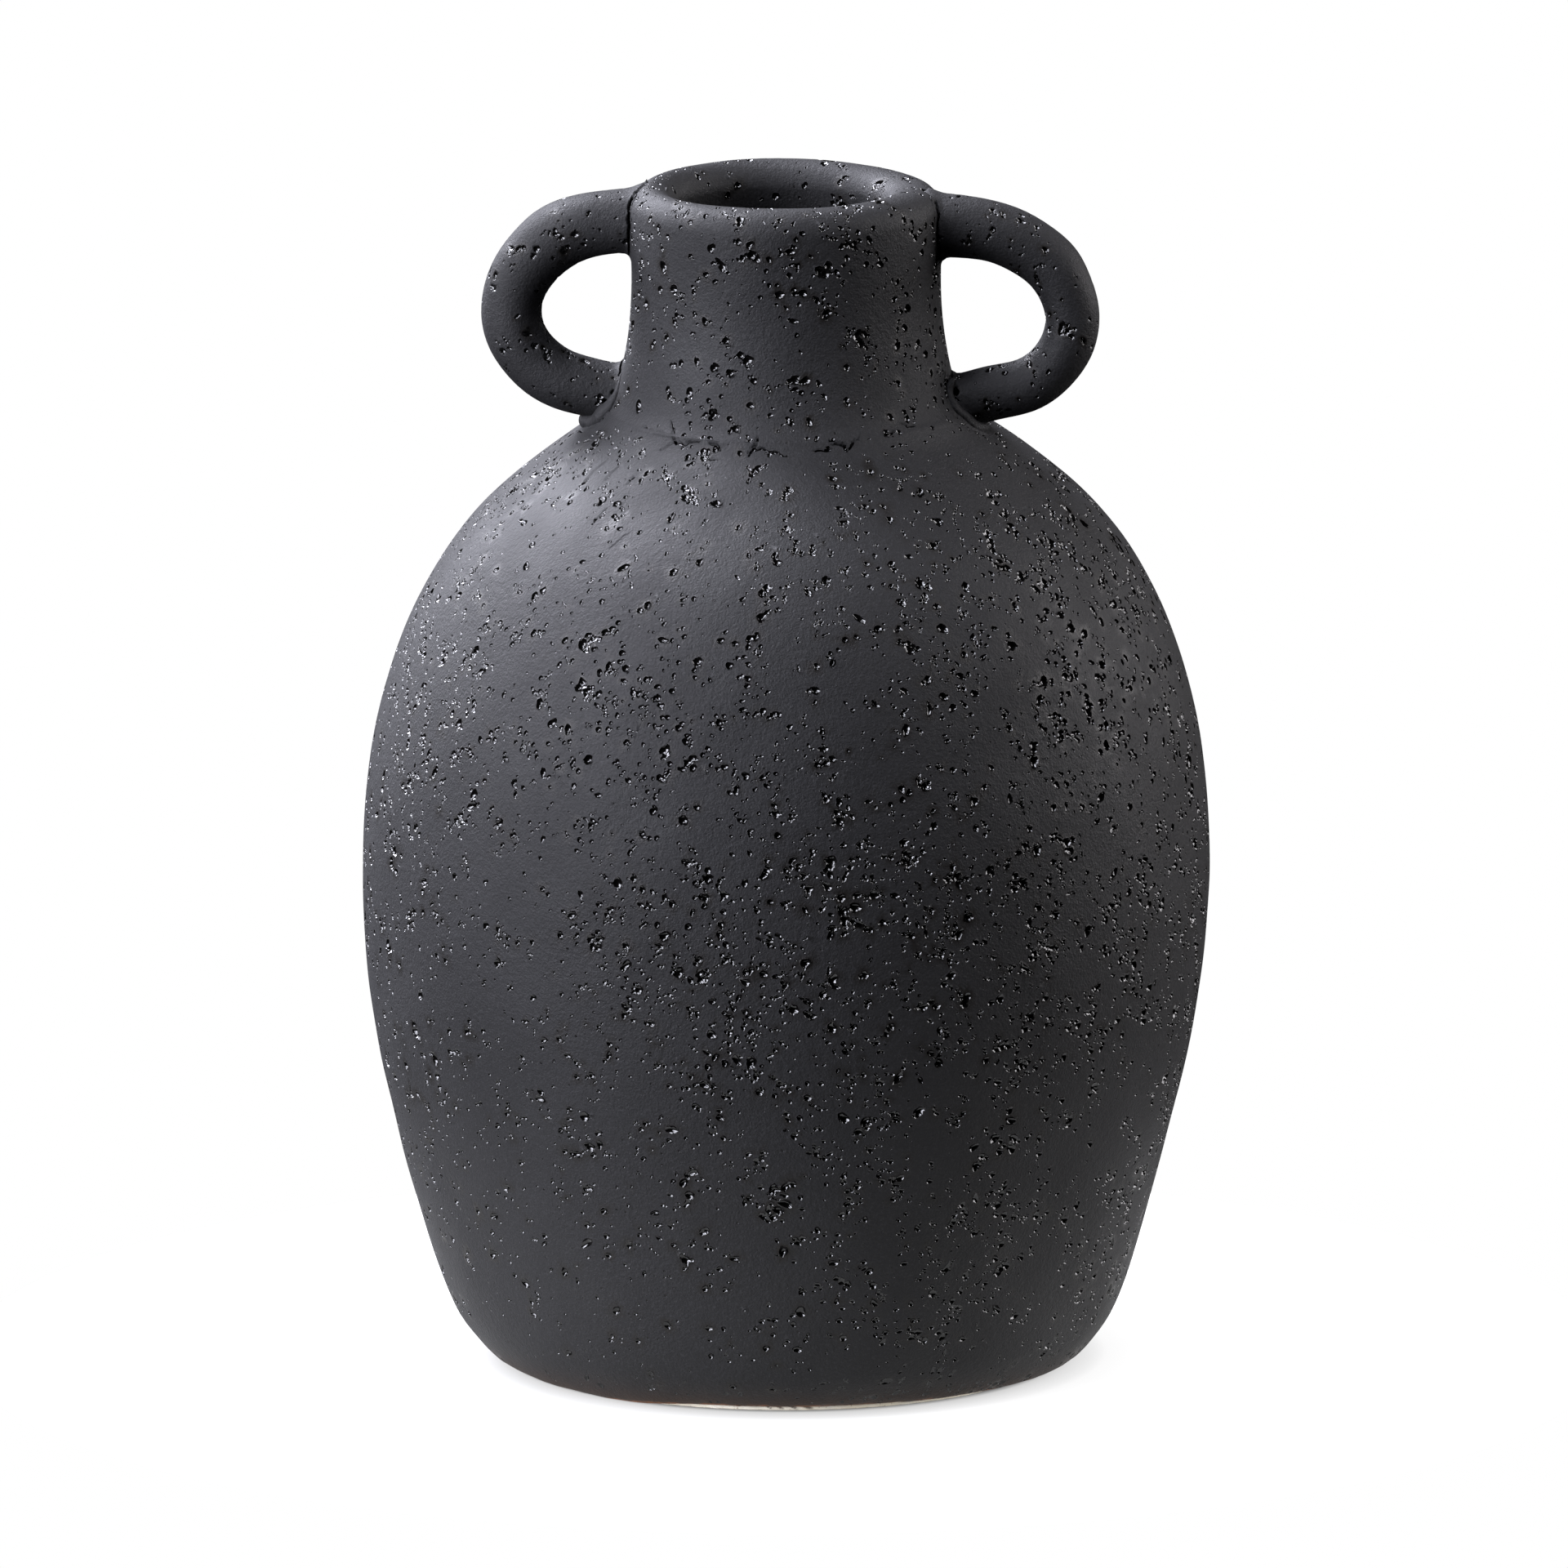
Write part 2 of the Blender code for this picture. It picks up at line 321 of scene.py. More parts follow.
def lattice(surface, v_low, v_high, gap, around, finer=None):
    """Staggered points about gap mm apart; rows v_low and v_high have exactly `around` points."""
    ang, vs = [], []
    edge = -np.pi + 2 * np.pi * np.arange(around + 1) / around
    for end in (v_low, v_high):
        ang.append(edge)
        vs.append(np.full(around + 1, end))
    v, row = v_low, 0
    while True:
        r = float(surface.scale(v))
        here = gap if finer is None else finer(v, gap)
        v += 0.87 * here / r
        if v > v_high - 0.45 * here / r:
            break
        n = max(12, int(round(2 * np.pi * float(surface.scale(v)) / here)))
        a = -np.pi + 2 * np.pi * (np.arange(n) + 0.5 * (row % 2)) / n
        a = a[(a > -np.pi + 0.5 * np.pi / n)]
        a = np.concatenate([[-np.pi], a[a < np.pi - 0.5 * np.pi / n], [np.pi]])
        ang.append(a)
        vs.append(np.full(len(a), v))
        row += 1
    return np.concatenate(ang), np.concatenate(vs)


def without_near(surface, ang, v, pits, reach=1.5):
    """Lattice points that no pit's rings cover. Points on the border stay."""
    tree = KDTree(len(pits.a))
    for i, p in enumerate(pits.place.tolist()):
        tree.insert(p, i)
    tree.balance()
    place, *_ = surface.at(ang, v)
    border = (np.abs(ang) > np.pi - 1e-6) | (v < v.min() + 1e-9) | (v > v.max() - 1e-9)
    size = pits.a * pits.long * reach
    biggest = float(size.max()) + 0.2
    keep = np.ones(len(ang), bool)
    for i in np.flatnonzero(~border):
        for _, k, dist in tree.find_range(place[i].tolist(), biggest):
            if dist < size[k] + 0.1:
                keep[i] = False
                break
    return ang[keep], v[keep]


def mesh_object(name, points, faces, materials, attributes=None, uv=None, face_material=None, normals=None):
    """A mesh from arrays in millimetres. uv is per face corner."""
    mesh = bpy.data.meshes.new(name)
    mesh.vertices.add(len(points))
    mesh.vertices.foreach_set("co", (np.asarray(points) * MM).astype(np.float32).ravel())
    sizes = np.array([len(f) for f in faces]) if isinstance(faces, list) else np.full(len(faces), faces.shape[1])
    corners = np.concatenate([np.asarray(f) for f in faces]) if isinstance(faces, list) else faces.ravel()
    mesh.loops.add(len(corners))
    mesh.loops.foreach_set("vertex_index", corners.astype(np.int32))
    mesh.polygons.add(len(sizes))
    mesh.polygons.foreach_set("loop_start", np.concatenate([[0], np.cumsum(sizes)[:-1]]).astype(np.int32))
    mesh.polygons.foreach_set("use_smooth", np.ones(len(sizes), bool))
    for material in materials:
        mesh.materials.append(material)
    if face_material is not None:
        mesh.polygons.foreach_set("material_index", face_material.astype(np.int32))
    if uv is not None:
        layer = mesh.uv_layers.new(name="OFBake")
        layer.data.foreach_set("uv", uv.astype(np.float32).ravel())
    for key, values in (attributes or {}).items():
        mesh.attributes.new(key, "FLOAT", "POINT").data.foreach_set("value", values.astype(np.float32))
    mesh.update(calc_edges=True)
    if normals is not None:
        mesh.normals_split_custom_set(normals.tolist())
    obj = bpy.data.objects.new(name, mesh)
    bpy.context.scene.collection.objects.link(obj)
    return obj


def unit(v):
    return v / (np.linalg.norm(v, axis=1)[:, None] + 1e-12)


class Skin:
    """Collects a triangulated, pitted surface and whatever closes it, and welds them into one mesh."""

    def __init__(self):
        self.parts, self.n = [], 0

    def add(self, points, faces, uv, wet=None, stain=None, normal=None):
        zero = np.zeros(len(points))
        known = np.zeros_like(points) if normal is None else normal
        self.parts.append((points, faces + self.n, uv, zero if wet is None else wet, zero if stain is None else stain, known))
        self.n += len(points)

    def build(self, name, materials, wet_slot=None, edge=None):
        """edge is the height of the glaze's lower edge, where it thins to brown."""
        points, faces, uv, wet, stain, known = (np.concatenate(k) for k in zip(*self.parts))
        uv = uv[faces.ravel()]
        _, first, same = np.unique(np.round(points / 2e-4).astype(np.int64), axis=0, return_index=True, return_inverse=True)
        faces = same.reshape(-1)[faces]
        points, wet, stain, known = points[first], wet[first], stain[first], known[first]
        whole = (faces[:, 0] != faces[:, 1]) & (faces[:, 1] != faces[:, 2]) & (faces[:, 0] != faces[:, 2])
        uv = uv.reshape(-1, 3, 2)[whole].reshape(-1, 2)
        faces = faces[whole]
        slot = normals = None
        if wet_slot is not None:
            hollow = wet[faces].min(1) > 0.9
            slot = np.where(hollow, wet_slot, 0)
            # hollows are shaded by their own faces and the skin by the smooth surface, so each brink stays crisp
            way = np.cross(points[faces[:, 1]] - points[faces[:, 0]], points[faces[:, 2]] - points[faces[:, 0]])
            normals = np.empty((len(faces), 3, 3))
            for part in (hollow, ~hollow):
                total = np.zeros_like(points)
                for k in range(3):
                    np.add.at(total, faces[part, k], way[part])
                if part is not hollow:
                    sure = (np.abs(known).sum(1) > 0)[:, None]
                    total = np.where(sure, known, unit(total))
                normals[part] = unit(total)[faces[part]]
            normals = normals.reshape(-1, 3)
        fringe = np.zeros(len(points)) if edge is None else np.exp(-np.clip(points[:, 2] - edge, 0, 50) / 1.6) * (np.hypot(points[:, 0], points[:, 1]) > 47.5)
        return mesh_object(name, points, faces, materials, {"stain": stain, "fringe": fringe}, uv, slot, normals)


def grid_faces(rows, cols, close=False):
    """Triangles of a rows x cols grid of points, numbered row by row."""
    r, c = np.meshgrid(np.arange(rows - 1), np.arange(cols if close else cols - 1), indexing="ij")
    a = (r * cols + c).ravel()
    b = (r * cols + (c + 1) % cols).ravel()
    d, e = a + cols, b + cols
    return np.concatenate([np.stack([a, b, e], 1), np.stack([a, e, d], 1)])


def ring_strip(profile, around, flip=False):
    """Rings through a (radius, height) profile with the same columns as a lattice's border rows."""
    turn = -np.pi + 2 * np.pi * np.arange(around + 1) / around
    p = np.asarray(profile, float)
    r, t = np.meshgrid(p[:, 0], turn, indexing="ij")
    z = np.repeat(p[:, 1:2], around + 1, 1)
    points = np.stack([r * np.cos(t), r * np.sin(t), z], 2).reshape(-1, 3)
    faces = grid_faces(len(p), around + 1)
    return points, faces[:, ::-1] if flip else faces


# ------------------------------------------------------------------ the vase's shape

BODY_PROFILE = [
    (48.5, 1.25), (50.6, 2.0), (53.0, 3.9), (55.4, 6.5), (57.4, 10.2), (60.7, 19.9), (66.0, 40.0), (70.1, 60.0),
    (71.85, 84.0), (69.8, 110.0), (63.6, 130.0), (54.0, 145.0), (43.2, 154.6), (36.2, 159.75), (32.6, 162.55), (31.3, SEAT + 0.3),
]
NECK_PROFILE = [
    (31.2, SEAT - 0.6), (31.35, SEAT + 0.05), (30.65, SEAT + 1.0), (29.05, SEAT + 3.5), (27.6, SEAT + 8.5), (26.6, SEAT + 15.5), (26.3, SEAT + 22.0),
    (26.5, SEAT + 29.0), (26.6, TOP - 6.4),
]
LIP_R, LIP_T = 22.2, 4.4
BORE = 20.6


def lip_profile():
    turn = np.linspace(0, np.pi, 40)[1:]
    return np.stack([LIP_R + LIP_T * np.cos(turn), TOP - LIP_T - 0.03 + LIP_T * np.sin(turn)], 1)


def neck_profile():
    inner = spline_through([(LIP_R - LIP_T, TOP - LIP_T), (18.6, TOP - 9.0), (19.8, TOP - 15.0), (BORE, TOP - 23.0), (BORE, SEAT + 0.05)])
    return np.concatenate([spline_through(NECK_PROFILE + [(LIP_R + LIP_T, TOP - LIP_T - 0.03)]), lip_profile(), inner[1:]])


# Long hand-made unevenness, in millimetres
slow = Waves(11, 95.0, 16)
middling = Waves(12, 38.0, 20)
small = Waves(13, 11.0, 30)


def drift(z):
    """The throwing leaned a touch: the shoulder is fuller on the right."""
    x = 0.75 * smoothstep(95, 152, z) - 0.3 * smoothstep(90, 50, z) * smoothstep(5, 30, z)
    return x - 0.6 * smoothstep(154, 174, z)


def uneven(place):
    neck = smoothstep(SEAT - 14, SEAT + 8, place[:, 2])
    return (0.22 - 0.12 * neck) * slow(place) + 0.10 * middling(place) + 0.028 * small(place)


body_surface = Turned(spline_through(BODY_PROFILE))
neck_surface = Turned(neck_profile())


def vase_depth(p):
    """Signed distance, about, from the neck and shoulder's outside: positive in the open."""
    rho, z = np.hypot(p[:, 0], p[:, 1]), p[:, 2]
    outer = neck_surface.z <= TOP
    top = int(np.argmax(neck_surface.z))
    nr = np.interp(z, neck_surface.z[: top + 1], neck_surface.r[: top + 1])
    ntr = np.interp(z, neck_surface.z[: top + 1], neck_surface.tr[: top + 1])
    neck = (rho - nr) * np.sqrt(np.clip(1 - ntr**2, 0.05, 1))
    lip = np.hypot(rho - LIP_R, z - (TOP - LIP_T)) - LIP_T
    neck = np.where(z > TOP - LIP_T, np.where(rho > LIP_R, lip, z - TOP), neck)
    br = np.interp(z, body_surface.z, body_surface.r)
    btr = np.interp(z, body_surface.z, body_surface.tr)
    shoulder = (rho - br) * np.sqrt(np.clip(1 - btr**2, 0.05, 1))
    shoulder = np.where(z > SEAT + 0.25, 99, shoulder)
    return np.minimum(neck, shoulder)


def loop_path(side):
    """The coil's centre line, out of the neck below the lip, round, and back at its foot."""
    low, high = box_mm("left_handle" if side < 0 else "right_handle")
    reach = abs(low[0] if side < 0 else high[0])
    if side < 0:
        points = [
            (20.5, 196.4), (25.5, 196.4), (30.0, 195.9), (34.6, 195.0), (39.4, 192.9), (43.6, 189.1), (46.2, 184.4), (46.8, 179.6),
            (45.6, 175.2), (42.8, 171.4), (39.0, 168.7), (34.4, 167.3), (29.5, 166.3), (25.0, 165.3), (20.5, 164.6),
        ]
    else:
        points = [
            (20.5, 196.4), (25.5, 196.5), (30.5, 196.1), (35.4, 195.3), (40.3, 193.3), (44.9, 189.9), (47.8, 185.2), (48.75, 180.2),
            (47.6, 175.6), (44.7, 171.6), (40.6, 168.9), (35.8, 167.6), (30.5, 166.3), (25.5, 165.0), (20.5, 164.2),
        ]
    line = spline_through(points, 12)
    return np.stack([side * line[:, 0], 0 * line[:, 0], line[:, 1]], 1), reach


def loop_radius(path, side):
    """Thickest at the crown, a little thinner past the outermost point, pressed wider at both roots."""
    s = np.concatenate([[0], np.cumsum(np.linalg.norm(np.diff(path, axis=0), axis=1))])
    t = s / s[-1]
    if side < 0:
        r = np.interp(t, [0, 0.14, 0.3, 0.5, 0.68, 0.84, 1], [5.6, 5.5, 5.45, 5.15, 5.1, 4.95, 5.3])
    else:
        r = np.interp(t, [0, 0.14, 0.3, 0.5, 0.68, 0.84, 1], [5.6, 5.3, 5.15, 4.72, 4.65, 4.7, 5.2])
    return r


def fillet(depth, width):
    """How much wider a coil is where it stands `depth` above the surface that it is smoothed into."""
    d = np.clip(depth, 0, width)
    return width * (1 - np.sqrt(d / width)) ** 2 * smoothstep(-0.7, 0.0, depth)


def loop_swell(side):
    def swell(centre, way, r):
        grow = np.zeros(len(r))
        # The crown is wiped smoothly into the rim; the foot is butted on and hardly wiped
        for _ in range(7):
            p = centre + (r + grow)[:, None] * way
            up = way[:, 2]
            crown = centre[:, 2] > 181
            width = np.where(crown, 0.5 + 1.6 * np.clip(up, 0, 1) ** 2 + 1.6 * np.clip(-up, 0, 1) ** 2, 0.6 + 1.5 * np.clip(up, 0, 1) ** 2)
            grow = 0.4 * grow + 0.6 * fillet(vase_depth(p), width)
        return r + grow
    return swell


def build_coil_surface(side):
    path, _ = loop_path(side)
    return Coil(path, loop_radius(path, side), loop_swell(side))


# ------------------------------------------------------------------ materials

class Graph:
    """A short way to write a material's nodes."""

    def __init__(self, name):
        self.material = bpy.data.materials.new(name)
        self.material.use_nodes = True
        self.tree = self.material.node_tree
        self.shader = self.tree.nodes["Principled BSDF"]

    def node(self, kind, **settings):
        made = self.tree.nodes.new(kind)
        for key, value in settings.items():
            setattr(made, key, value)
        return made

    def wire(self, source, target):
        self.tree.links.new(source, target)

    def place(self, scale=1.0):
        return self.node("ShaderNodeTexCoord").outputs["Object"]

    def noise(self, per_metre, detail=2.0, rough=0.5):
        n = self.node("ShaderNodeTexNoise")
        self.wire(self.place(), n.inputs["Vector"])
        n.inputs["Scale"].default_value = per_metre
        n.inputs["Detail"].default_value = detail
        n.inputs["Roughness"].default_value = rough
        return n.outputs["Fac"]

    def attribute(self, name):
        return self.node("ShaderNodeAttribute", attribute_name=name).outputs["Fac"]

    def ramp(self, source, low, high, out_low=0.0, out_high=1.0):
        n = self.node("ShaderNodeMapRange")
        n.inputs["From Min"].default_value, n.inputs["From Max"].default_value = low, high
        n.inputs["To Min"].default_value, n.inputs["To Max"].default_value = out_low, out_high
        self.wire(source, n.inputs["Value"])
        return n.outputs["Result"]

    def maths(self, how, a, b):
        n = self.node("ShaderNodeMath", operation=how)
        for socket, value in zip(n.inputs, (a, b)):
            if isinstance(value, (int, float)):
                socket.default_value = value
            else:
                self.wire(value, socket)
        return n.outputs[0]

    def mix(self, factor, a, b):
        n = self.node("ShaderNodeMix", data_type="RGBA")
        for socket, value in ((n.inputs["Factor"], factor), (n.inputs[6], a), (n.inputs[7], b)):
            if isinstance(value, tuple):
                socket.default_value = (*value, 1.0)
            elif isinstance(value, float):
                socket.default_value = value
            else:
                self.wire(value, socket)
        return n.outputs[2]

    def mix_value(self, factor, a, b):
        n = self.node("ShaderNodeMix", data_type="FLOAT")
        for socket, value in ((n.inputs["Factor"], factor), (n.inputs[2], a), (n.inputs[3], b)):
            if isinstance(value, (int, float)):
                socket.default_value = value
            else:
                self.wire(value, socket)
        return n.outputs[0]


GLAZE = (0.0074, 0.0073, 0.0077)
GLAZE_PALE = (0.0096, 0.0095, 0.0100)
GLAZE_WET = (0.0016, 0.0015, 0.0014)
STAIN = (0.0034, 0.0024, 0.0012)
MATTE, WET = 0.65, 0.12


def glaze_material(name="black_glaze"):
    g = Graph(name)
    stain = g.attribute("stain")
    # Tone: slow clouds, a fine speckle, and near-black inside the burst bubbles
    cloud = g.ramp(g.noise(38, 3.0), 0.35, 0.68)
    colour = g.mix(cloud, GLAZE, GLAZE_PALE)
    speckle = g.ramp(g.noise(2300, 1.0), 0.55, 0.75)
    colour = g.mix(g.maths("MULTIPLY", speckle, 0.45), colour, (0.020, 0.020, 0.021))
    # Pin bubbles too small to model
    pin = g.node("ShaderNodeTexVoronoi", feature="F1")
    g.wire(g.place(), pin.inputs["Vector"])
    pin.inputs["Scale"].default_value = 620
    pin.inputs["Randomness"].default_value = 1.0
    chance = g.node("ShaderNodeSeparateColor")
    g.wire(pin.outputs["Color"], chance.inputs["Color"])
    some = g.ramp(chance.outputs["Red"], 0.80, 0.81)
    dot = g.maths("MULTIPLY", g.ramp(pin.outputs["Distance"], 0.16, 0.10), some)
    colour = g.mix(g.maths("MULTIPLY", dot, 0.85), colour, GLAZE_WET)
    colour = g.mix(g.maths("MULTIPLY", stain, 0.8), colour, STAIN)
    # it thins to brown over the last millimetres above the foot, and to rust at its very edge
    fringe = g.maths("MULTIPLY", g.attribute("fringe"), g.ramp(g.noise(260, 3.0), 0.3, 0.7, 0.75, 1.15))
    colour = g.mix(g.ramp(fringe, 0.02, 0.75, 0.0, 0.8), colour, (0.034, 0.019, 0.012))
    colour = g.mix(g.ramp(fringe, 0.72, 0.90), colour, (0.17, 0.068, 0.028))
    g.wire(colour, g.shader.inputs["Base Color"])
    rough = g.ramp(g.noise(70, 3.0), 0.3, 0.7, MATTE - 0.05, MATTE + 0.05)
    rough = g.mix_value(g.maths("MULTIPLY", dot, 0.9), rough, WET)
    rough = g.mix_value(g.maths("MULTIPLY", stain, 0.6), rough, 0.22)
    g.wire(rough, g.shader.inputs["Roughness"])
    # Grain of the matte skin, and the pin bubbles' hollows
    grain = g.maths("ADD", g.noise(2600, 2.0, 0.6), g.maths("MULTIPLY", g.noise(900, 1.0, 0.5), 0.8))
    first = g.node("ShaderNodeBump")
    first.inputs["Strength"].default_value = 1.0
    first.inputs["Distance"].default_value = 0.00013
    g.wire(grain, first.inputs["Height"])
    second = g.node("ShaderNodeBump", invert=True)
    second.inputs["Strength"].default_value = 0.8
    second.inputs["Distance"].default_value = 0.00018
    g.wire(dot, second.inputs["Height"])
    g.wire(first.outputs["Normal"], second.inputs["Normal"])
    g.wire(second.outputs["Normal"], g.shader.inputs["Normal"])
    g.shader.inputs["IOR"].default_value = 1.5
    g.shader.inputs["Specular IOR Level"].default_value = 0.167
    return g.material


def wet_material():
    g = Graph("burst_bubble_glaze")
    g.shader.inputs["Base Color"].default_value = (*GLAZE_WET, 1.0)
    g.shader.inputs["Roughness"].default_value = WET
    g.shader.inputs["IOR"].default_value = 1.43
    return g.material


def clay_material():
    g = Graph("bare_clay")
    tone = g.mix(g.ramp(g.noise(220, 4.0), 0.35, 0.7), (0.95, 0.87, 0.70), (1.0, 0.96, 0.84))
    fleck = g.ramp(g.noise(1900, 1.0), 0.66, 0.74)
    tone = g.mix(g.maths("MULTIPLY", fleck, 0.5), tone, (0.33, 0.22, 0.13))
    tone = g.mix(g.maths("MULTIPLY", g.ramp(g.attribute("stain"), 0.25, 0.8), 0.85), tone, (0.10, 0.07, 0.05))
    g.wire(tone, g.shader.inputs["Base Color"])
    g.wire(g.ramp(g.noise(400, 2.0), 0.3, 0.7, 0.72, 0.9), g.shader.inputs["Roughness"])
    bump = g.node("ShaderNodeBump")
    bump.inputs["Strength"].default_value = 0.5
    bump.inputs["Distance"].default_value = 0.00015
    g.wire(g.noise(1400, 3.0), bump.inputs["Height"])
    g.wire(bump.outputs["Normal"], g.shader.inputs["Normal"])
    return g.material


# painted light: a pale tan for the ledge faces that the lamps fall on
def ledge_light_material():
    g = Graph("painted_ledge_light_tan")
    g.wire(g.mix(g.ramp(g.noise(900, 3.0), 0.35, 0.65), (0.05, 0.042, 0.034), (0.16, 0.135, 0.105)), g.shader.inputs["Base Color"])
    g.shader.inputs["Roughness"].default_value = 0.75
    g.shader.inputs["Specular IOR Level"].default_value = 0.2
    return g.material


painted_ledge_light = ledge_light_material()
glaze = glaze_material()
wet_glaze = wet_material()
clay = clay_material()


# ------------------------------------------------------------------ where the bubbles are

patch_wide = Waves(21, 34.0, 26)
patch_near = Waves(22, 9.0, 40)


def crowd_body(p):
    """Chance that a spot blisters. Thick on a slanting band over the front, thin low on the left and by the foot."""
    ang = np.arctan2(p[:, 1], p[:, 0])
    front = smoothstep(-0.35, 0.45, np.cos(ang + np.pi / 2 - 0.12))
    x, z = p[:, 0], p[:, 2]
    slant = np.exp(-(((x * 0.55 + (z - 90) * 0.3) / 30.0) ** 2))
    base = 0.30 + 0.17 * (1 - front) + front * (0.16 + 0.26 * slant + 0.14 * smoothstep(-25, 20, x))
    base *= 0.40 + 0.60 * smoothstep(6, 40, z)
    base *= 1 - 0.45 * smoothstep(5, 40, -x) * smoothstep(95, 50, z) * front
    base *= 1 - 0.85 * np.exp(-(((x + 38) / 19) ** 2 + ((z - 147) / 12) ** 2)) * front
    base *= 1 - 0.35 * np.exp(-(((x - 28) / 14) ** 2 + ((z - 148) / 9) ** 2)) * front
    texture = np.clip(0.85 + 0.32 * patch_wide(p) + 0.40 * patch_near(p), 0.08, 2.0)
    return np.clip(base * texture, 0, 1)


def crowd_neck(p):
    texture = np.clip(0.85 + 0.25 * patch_wide(p) + 0.40 * patch_near(p), 0.05, 1.9)
    inside = np.hypot(p[:, 0], p[:, 1]) < 21.6
    return np.clip(0.50 * texture * np.where(inside, 0.45, 1.0), 0, 1)


def crowd_handle(p):
    return np.clip(0.42 * (0.85 + 0.40 * patch_near(p)), 0.05, 1)


# ------------------------------------------------------------------ cracks where pieces were luted

def on_front(x, z):
    """A point on the outside of the vase at a given x and height, on the viewer's side."""
    if z > SEAT:
        r = np.interp(z, neck_surface.z[:200], neck_surface.r[:200])
    else:
        r = np.interp(z, body_surface.z, body_surface.r)
    return (x, -math.sqrt(max(r * r - x * x, 0)), z)


JOINT_CRACKS = [  # (half width, depth, [(x, height above the joint)...])
    (0.16, 0.7, [(-23.3, 0.9), (-21.0, 0.5), (-18.6, 0.7), (-17.4, 0.1)]),
    (0.20, 0.8, [(-17.8, 2.6), (-17.2, 1.2), (-16.9, -0.2), (-15.6, -0.9), (-14.2, -0.1), (-12.0, 0.5)]),
    (0.14, 0.6, [(-16.9, -0.3), (-18.4, -1.4), (-19.6, -1.9)]),
    (0.18, 0.7, [(-10.9, 0.3), (-9.3, -0.2), (-8.7, -1.0)]),
    (0.15, 0.6, [(-10.6, -2.2), (-9.0, -2.0)]),
    (0.20, 0.8, [(-2.2, 1.4), (-2.6, 0.1), (-3.3, -0.7), (-3.8, -1.6)]),
    (0.17, 0.7, [(-3.2, -0.4), (-1.0, -0.5), (1.3, -0.9), (3.0, -1.2)]),
    (0.15, 0.6, [(7.0, -0.7), (9.0, -0.8), (10.6, -0.5)]),
    (0.22, 0.8, [(9.8, 0.8), (10.9, 0.1), (12.3, -0.1), (13.1, -1.1)]),
    (0.16, 0.6, [(13.1, -0.9), (14.3, 0.4), (15.0, 0.9)]),
    (0.18, 0.7, [(18.4, 1.6), (19.3, 0.8), (20.7, 1.0)]),
    (0.14, 0.6, [(21.2, 2.2), (22.6, 1.6), (23.8, 1.2)]),
]
SHOULDER_CRACKS = [
    (0.13, 0.5, [(-33.0, -8.2), (-31.2, -6.3), (-29.4, -5.0)]),
    (0.12, 0.45, [(-29.3, -7.4), (-27.9, -5.9), (-26.6, -4.9)]),
    (0.12, 0.45, [(-24.9, -7.0), (-23.7, -5.8)]),
    (0.12, 0.4, [(-30.2, -13.0), (-28.8, -11.2), (-27.9, -10.4)]),
    (0.11, 0.4, [(-26.6, -15.8), (-24.6, -13.9), (-23.3, -13.0)]),
]


jag_a, jag_b = Waves(31, 1.6, 20), Waves(32, 2.4, 20)


def jagged(line, amount=0.14):
    """The line again in short steps, wandering a little on the vase's surface."""
    step = np.concatenate([[0], np.cumsum(np.linalg.norm(np.diff(line, axis=0), axis=1))])
    at = np.linspace(0, step[-1], max(3, int(step[-1] / 0.45)))
    p = np.stack([np.interp(at, step, line[:, k]) for k in range(3)], 1)
    p[:, 2] += amount * jag_a(p)
    p[:, 0] += 0.7 * amount * jag_b(p)
    return on_vase(p)


def front_lines(cracks):
    return [(2.0 * w, 1.5 * d, jagged(np.array([on_front(x, SEAT + h) for x, h in pts]))) for w, d, pts in cracks]


def on_vase(p, beyond=0.0):
    """The nearest spot on the vase's outside at the same bearing and height."""
    top = int(np.argmax(neck_surface.z))
    r = np.where(
        p[:, 2] > SEAT,
        np.interp(p[:, 2], neck_surface.z[:top], neck_surface.r[:top]),
        np.interp(p[:, 2], body_surface.z, body_surface.r),
    ) + beyond
    now = np.hypot(p[:, 0], p[:, 1])
    return np.stack([p[:, 0] * r / now, p[:, 1] * r / now, p[:, 2]], 1)


def root_line(side, upper, turns, level=0.1, aside=0.0):
    """The line round a handle's root. turns are angles round the coil: 0 faces the viewer, 90 left's outside or right's inside."""
    coil = handle_coils[side]
    out = []
    for turn in turns:
        v = np.linspace(0, coil.v[-1] * 0.34, 200)
        if not upper:
            v = coil.v[-1] - v
        place, way, *_ = coil.at(np.full(len(v), math.radians(turn)), v)
        depth = vase_depth(place)
        hit = np.flatnonzero(depth > level)
        k = hit[0] if len(hit) else -1
        out.append(place[k] + aside * way[k])
    return on_vase(np.array(out))


